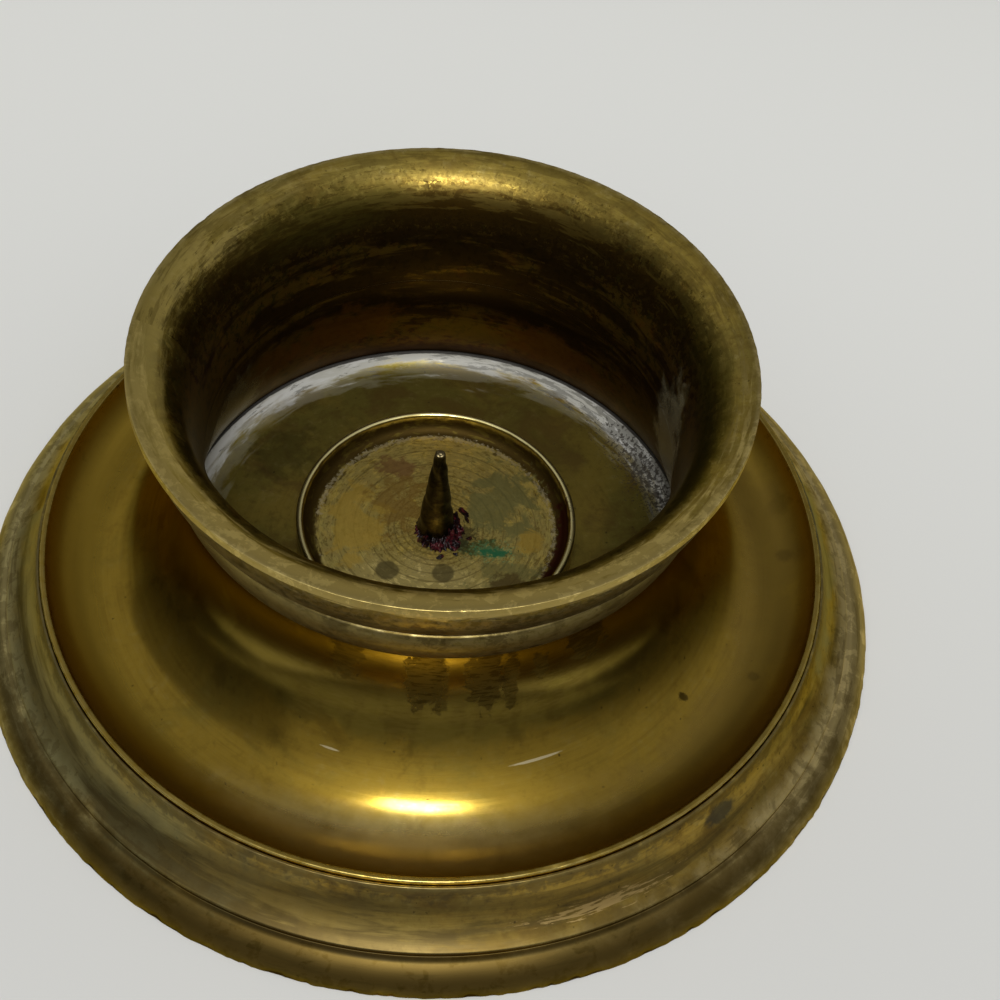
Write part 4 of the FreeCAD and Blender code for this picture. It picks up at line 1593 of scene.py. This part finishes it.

# The collar: dull coats on the beads, partly tarnish and partly painted shade under the lip, then runs over them,
# flaked brown film inside the flare, wear and painted light on the lip's near side, and painted shade under the
# lip's edge.
COLLAR = TurnedBrass(
    "collar_brass", polished=(0.450, 0.330, 0.068), olive=(0.340, 0.270, 0.070), brown=(0.175, 0.110, 0.026),
    bright=(0.74, 0.60, 0.26), rough=0.30, dull_rough=0.40, olive_cover=0.45, brown_cover=0.26, mottle=0.6,
    streaks=0.7, line_depth=0.8, grime_and_shade=0.9, edge=(0.48, 0.38, 0.17),
    coats=(
        # Dark coats on the beads: partly tarnish, partly painted shade under the lip.
        Stain(OUTER, (66.6, 0, 68.5), (6, ALL_ROUND, 17), (0.105, 0.08, 0.02), 0.9, 0.15, 0.3, 0.1, rough=0.3,
              metal=0.75),
        Stain(OUTER_DRAWN, (66, 0, 64), (6, ALL_ROUND, 15), (0.058, 0.054, 0.022), 0.55, 2.6, 0.45, 0.3, rough=0.42,
              metal=0.75),
        Stain(OUTER, (66, 0, 67), (6, ALL_ROUND, 17), (0.26, 0.21, 0.1), 0.5, 3.4, 0.7, 0.12),
    ),
    stains=WALL + (
        Stain(OUTER, (68, -138, 66), (7, 34, 15), (0.4, 0.31, 0.105), 0.75, 0.8, 0.25, 0.5),
        # The lip's near side: partly wear, partly painted light where the lamp falls.
        Stain(DRAWN, (70, -90, 86), (5, 80, 3.4), (0.86, 0.68, 0.25), 0.7, 0.8, rough=0.42),
        Stain(TURNED, (70, -90, 85.5), (5, 90, 4), (0.3, 0.215, 0.055), 0.4, 2.6, 0.34, 0.4),
        Stain(OUTER, (67, 0, 64), (5, ALL_ROUND, 7), (0.15, 0.11, 0.03), 0.6, 0.6, 0.4, 0.4),
        *(Stain(OUTER, (68, angle, 70), (6, 0.8 * wide, 9), DRIP, 0.65 * strength, 0.7, 0.6, 0.15)
          for angle, _, wide, _, strength in DRIPS),
        Stain(TURNED, (60, 90, 76.4), (5.6, 78, 5.4), (0.03, 0.017, 0.004), 0.92, 1.2, 0.6, 0.08, rough=0.4),
        Stain(TURNED, (61.5, 95, 79), (6, 70, 4.6), (0.06, 0.036, 0.007), 0.65, 1.5, 0.9, 0.15, rough=0.36),
        Stain(DRAWN, (61, 90, 78), (5, 80, 4), UMBER, 0.4, 2, 0.7, 0.3, rough=0.34),
        Stain(DRAWN, (67, 180, 86), (5.5, 40, 3.4), (0.6, 0.47, 0.15), 0.5, 1, 0.4, 0.4),
        Stain(DRAWN, (67, -165, 86), (5.5, 35, 3.4), (0.6, 0.47, 0.15), 0.5, 1, 0.4, 0.4),
        Stain(DRAWN, (66, 100, 83), (6, 80, 4), (0.16, 0.115, 0.026), 0.5, 2.2, 0.5, 0.4),
        Stain(TURNED, (61.5, 128, 79), (6, 20, 5.5), MOSS, 0.5, 0.35, 0.2, 0.5, rough=0.34),
        Stain(TURNED, (62.5, -6, 80), (6, 30, 5.5), MOSS, 0.5, 0.35, 0.2, 0.5, rough=0.34),
        Stain(DRAWN, (60.5, 178, 78.5), (5, 50, 5), UMBER, 0.55, 2, 1.2, rough=0.34),
        # Painted shade: a dark band just under the lip's edge.
        Stain(TURNED, (69.6, 0, 84.2), (1.9, ALL_ROUND, 0.7), SOOT_AND_SHADE, 0.9, 0.2, 0.2, rough=0.5),
    ))

# The pan: a drawn white film in its cove, broken by dark flecks, and painted shade along the joint with the wall.
PAN = TurnedBrass(
    "pan_brass_dull", polished=(0.36, 0.265, 0.048), olive=(0.22, 0.180, 0.034), brown=(0.13, 0.078, 0.016),
    rough=0.34, dull_rough=0.50, olive_cover=0.55, brown_cover=0.45, brown_grain=0.07, metal=0.8, mottle=0.5,
    stains=(
        Stain(DRAWN, (60.8, 80, 17.2), (2.4, ALL_ROUND, 3), (0.26, 0.25, 0.18), 0.5, 2, 0.3, 0.5, metal=0.3),
        Stain(DRAWN, (65.4, 0, 19.6), (4.9, ALL_ROUND, 3.2), FILM, 0.94, 0.9, 0.22, rough=0.5, metal=0),
        Stain(DRAWN, (64, 165, 18.6), (3, 42, 3), (0.6, 0.6, 0.58), 0.6, 1.2, 0.5, 0.4),
        Stain(DRAWN, (64, 20, 18.6), (3, 40, 3), (0.6, 0.6, 0.58), 0.6, 1.2, 0.5, 0.4),
        Stain(DRAWN, (64.2, 20, 19), (2.6, 55, 3), (0.16, 0.155, 0.13), 0.75, 2.6, 0.8, 0.3),
        Stain(DRAWN, (63.2, 0, 18.2), (0.3, ALL_ROUND, 0.35), SOOT_AND_SHADE, 0.8, 1.6, 0.3, 0.5, rough=0.6),
        # Painted shade: a black ring in the gap between the pan's rim and the wall.
        Stain(TURNED, (65.6, 0, 19.7), (0.7, ALL_ROUND, 0.7), (0.012, 0.009, 0.006), 0.95, 0.15, 0.3, rough=0.7),
        Stain(TURNED, (60.5, 30, 17.8), (3.6, 11, 2), SOOT_AND_SHADE, 0.85, 2.4, 1, rough=0.6, metal=0),
        Stain(TURNED, (62.5, 8, 18.4), (2.6, 12, 2.2), SOOT_AND_SHADE, 0.8, 2.6, 0.9, rough=0.6, metal=0),
        Stain(TURNED, (50, 150, 16.8), (7, 12, 1.8), SOOT_AND_SHADE, 0.4, 0.7, 0.3, 0.4),
    ))

# The cup: turning rings and patches on its floor, its near part painted paler as painted light, a dark cove under a
# rim with a painted highlight along its top, round grease spots, verdigris.
CUP = TurnedBrass(
    "cup_brass", polished=(0.72, 0.530, 0.105), olive=(0.44, 0.365, 0.095), brown=(0.22, 0.135, 0.030), rough=0.38,
    dull_rough=0.50, olive_cover=0.48, brown_cover=0.34, olive_grain=0.07, brown_grain=0.16, streaks=0.9,
    line_depth=2.0, fineness=2.2, metal=0.88, mottle=0.65, wear=0.8, edge=(0.75, 0.65, 0.40),
    stains=(
        # Painted light: the near part of the cup's floor is painted paler.
        Stain(SPOT, (-2, -21, 23.5), (19, 9, 2), (0.96, 0.8, 0.34), 0.75, 0.6, 0.12, 0.5, rough=0.48),
        Stain(DRAWN, (14, 0, 23.5), (17, ALL_ROUND, 2), (0.17, 0.12, 0.035), 0.55, 3, 0.8, 0.3),
        Stain(DRAWN, (22, 0, 23.5), (14, ALL_ROUND, 2), (0.75, 0.6, 0.19), 0.35, 3.2, 1.5, 0.3),
        *(Stain(TURNED, (radius, 0, 23.5), (0.2, ALL_ROUND, 1.5), (0.17, 0.125, 0.035), 0.5, 0.9, 0.1, 0.5)
          for radius in (7.4, 8.8, 10.6, 12.1, 14.7, 17.3, 20.8, 25.5)),
        Stain(TURNED, (32, 0, 25.4), (2, ALL_ROUND, 2.6), (0.07, 0.048, 0.007), 0.95, 0.12, 0.35, 0.2, rough=0.58,
              metal=0.95),
        Stain(DRAWN, (32, 0, 25.2), (2, ALL_ROUND, 2.6), (0.035, 0.018, 0.005), 0.7, 1.6, 0.5, 0.3),
        Stain(TURNED, (34.35, 0, 28.7), (1.2, ALL_ROUND, 1.3), (0.16, 0.115, 0.025), 0.8, 0.2, 0.4, rough=0.36,
              metal=1),
        # Painted highlight: a bright line along the rim's top.
        Stain(DRAWN, (34.35, 0, 28.7), (0.6, ALL_ROUND, 0.62), (1, 0.9, 0.45), 0.95, 0.5, 0.4, rough=0.28, metal=1),
        Stain(TURNED, (30.1, 100, 23.5), (0.45, 105, 0.6), (0.6, 0.52, 0.33), 0.5, 2.6, 1.3, 0.5),
        Stain(SPOT, (-12, 18.5, 23.5), (5, 3.4, 2), (0.24, 0.12, 0.045), 0.75, 0.6, 0.35),
        Stain(SPOT, (24.2, -1.6, 23.5), (3.2, 4.2, 2), OCHRE, 0.75, 0.5, 0.35),
        Stain(SPOT, (-20, -2, 23.5), (7, 11, 2), (0.6, 0.4, 0.065), 0.7, 0.9, 0.16),
        Stain(SPOT, (-10, 6, 23.5), (7, 7, 2), (0.3, 0.175, 0.036), 0.65, 1.1, 0.2),
        Stain(SPOT, (16, 11, 23.5), (9, 10, 2), (0.225, 0.215, 0.075), 0.75, 1, 0.18),
        Stain(SPOT, (20, -14, 23.5), (7, 6, 2), (0.2, 0.195, 0.07), 0.6, 1.1, 0.2),
        Stain(SPOT, (-10.6, -15.2, 23.5), (2.9, 2.9, 2), (0.125, 0.1, 0.038), 0.78, 0.08, 0.8, 0.13),
        Stain(SPOT, (3.3, -14.3, 23.5), (2.8, 2.8, 2), (0.125, 0.1, 0.038), 0.78, 0.08, 0.8, 0.13),
        Stain(SPOT, (11, -5.2, 23.5), (6, 2.4, 2), (0.035, 0.08, 0.025), 0.75, 1.2),
        Stain(SPOT, (14.6, -6, 23.5), (4.4, 2.2, 2), (0.03, 0.115, 0.05), 0.6, 2, 1.1, rough=0.7, metal=0),
        Stain(SPOT, (15.2, -6.3, 23.5), (3.4, 1.2, 2), VERDIGRIS, 0.95, 1.4, 0.9, rough=0.7, metal=0),
        Stain(SPOT, (6, -2.6, 23.5), (4.4, 4, 2), (0.05, 0.045, 0.02), 0.7, 0.8),
        Stain(TURNED, (32.2, -6, 25.5), (2, 26, 3.4), (0.04, 0.007, 0.004), 0.9, 0.9, 0.3, rough=0.35, metal=0.8),
        Stain(SPOT, (20.5, -15.5, 23.5), (4.5, 3, 2), (0.1, 0.055, 0.018), 0.7, 0.7, 0.4),
    ))

# The spike: almost black, with a painted highlight at its paler tip.
SPIKE = TurnedBrass(
    "spike_brass_dark", polished=(0.075, 0.054, 0.018), olive=(0.050, 0.040, 0.016), brown=(0.020, 0.010, 0.005),
    rough=0.30, olive_grain=0.25, brown_grain=0.35, brown_cover=0.45,
    stains=(
        # Painted highlight: a pale spot at the tip.
        Stain(SPOT, (0, 0, 52.4), (2, 2, 0.7), (0.22, 0.18, 0.1), 0.7, 0.6, rough=0.4),
    ))


def main() -> None:
    """Build the stand, piece by piece, and the studio."""
    Studio().build()
    FootRing().build(FOOT)
    DishNeck().build(TRAY)
    FlaredCollar().build(COLLAR)
    WaxPan().build(PAN)
    CandleCup().build(CUP)
    Pricket().build(SPIKE)
    Fasteners().build(DullSteel("dull_steel"))
    WaxResidue().build(OldWax("old_wax"))


if __name__ == "__main__":
    main()
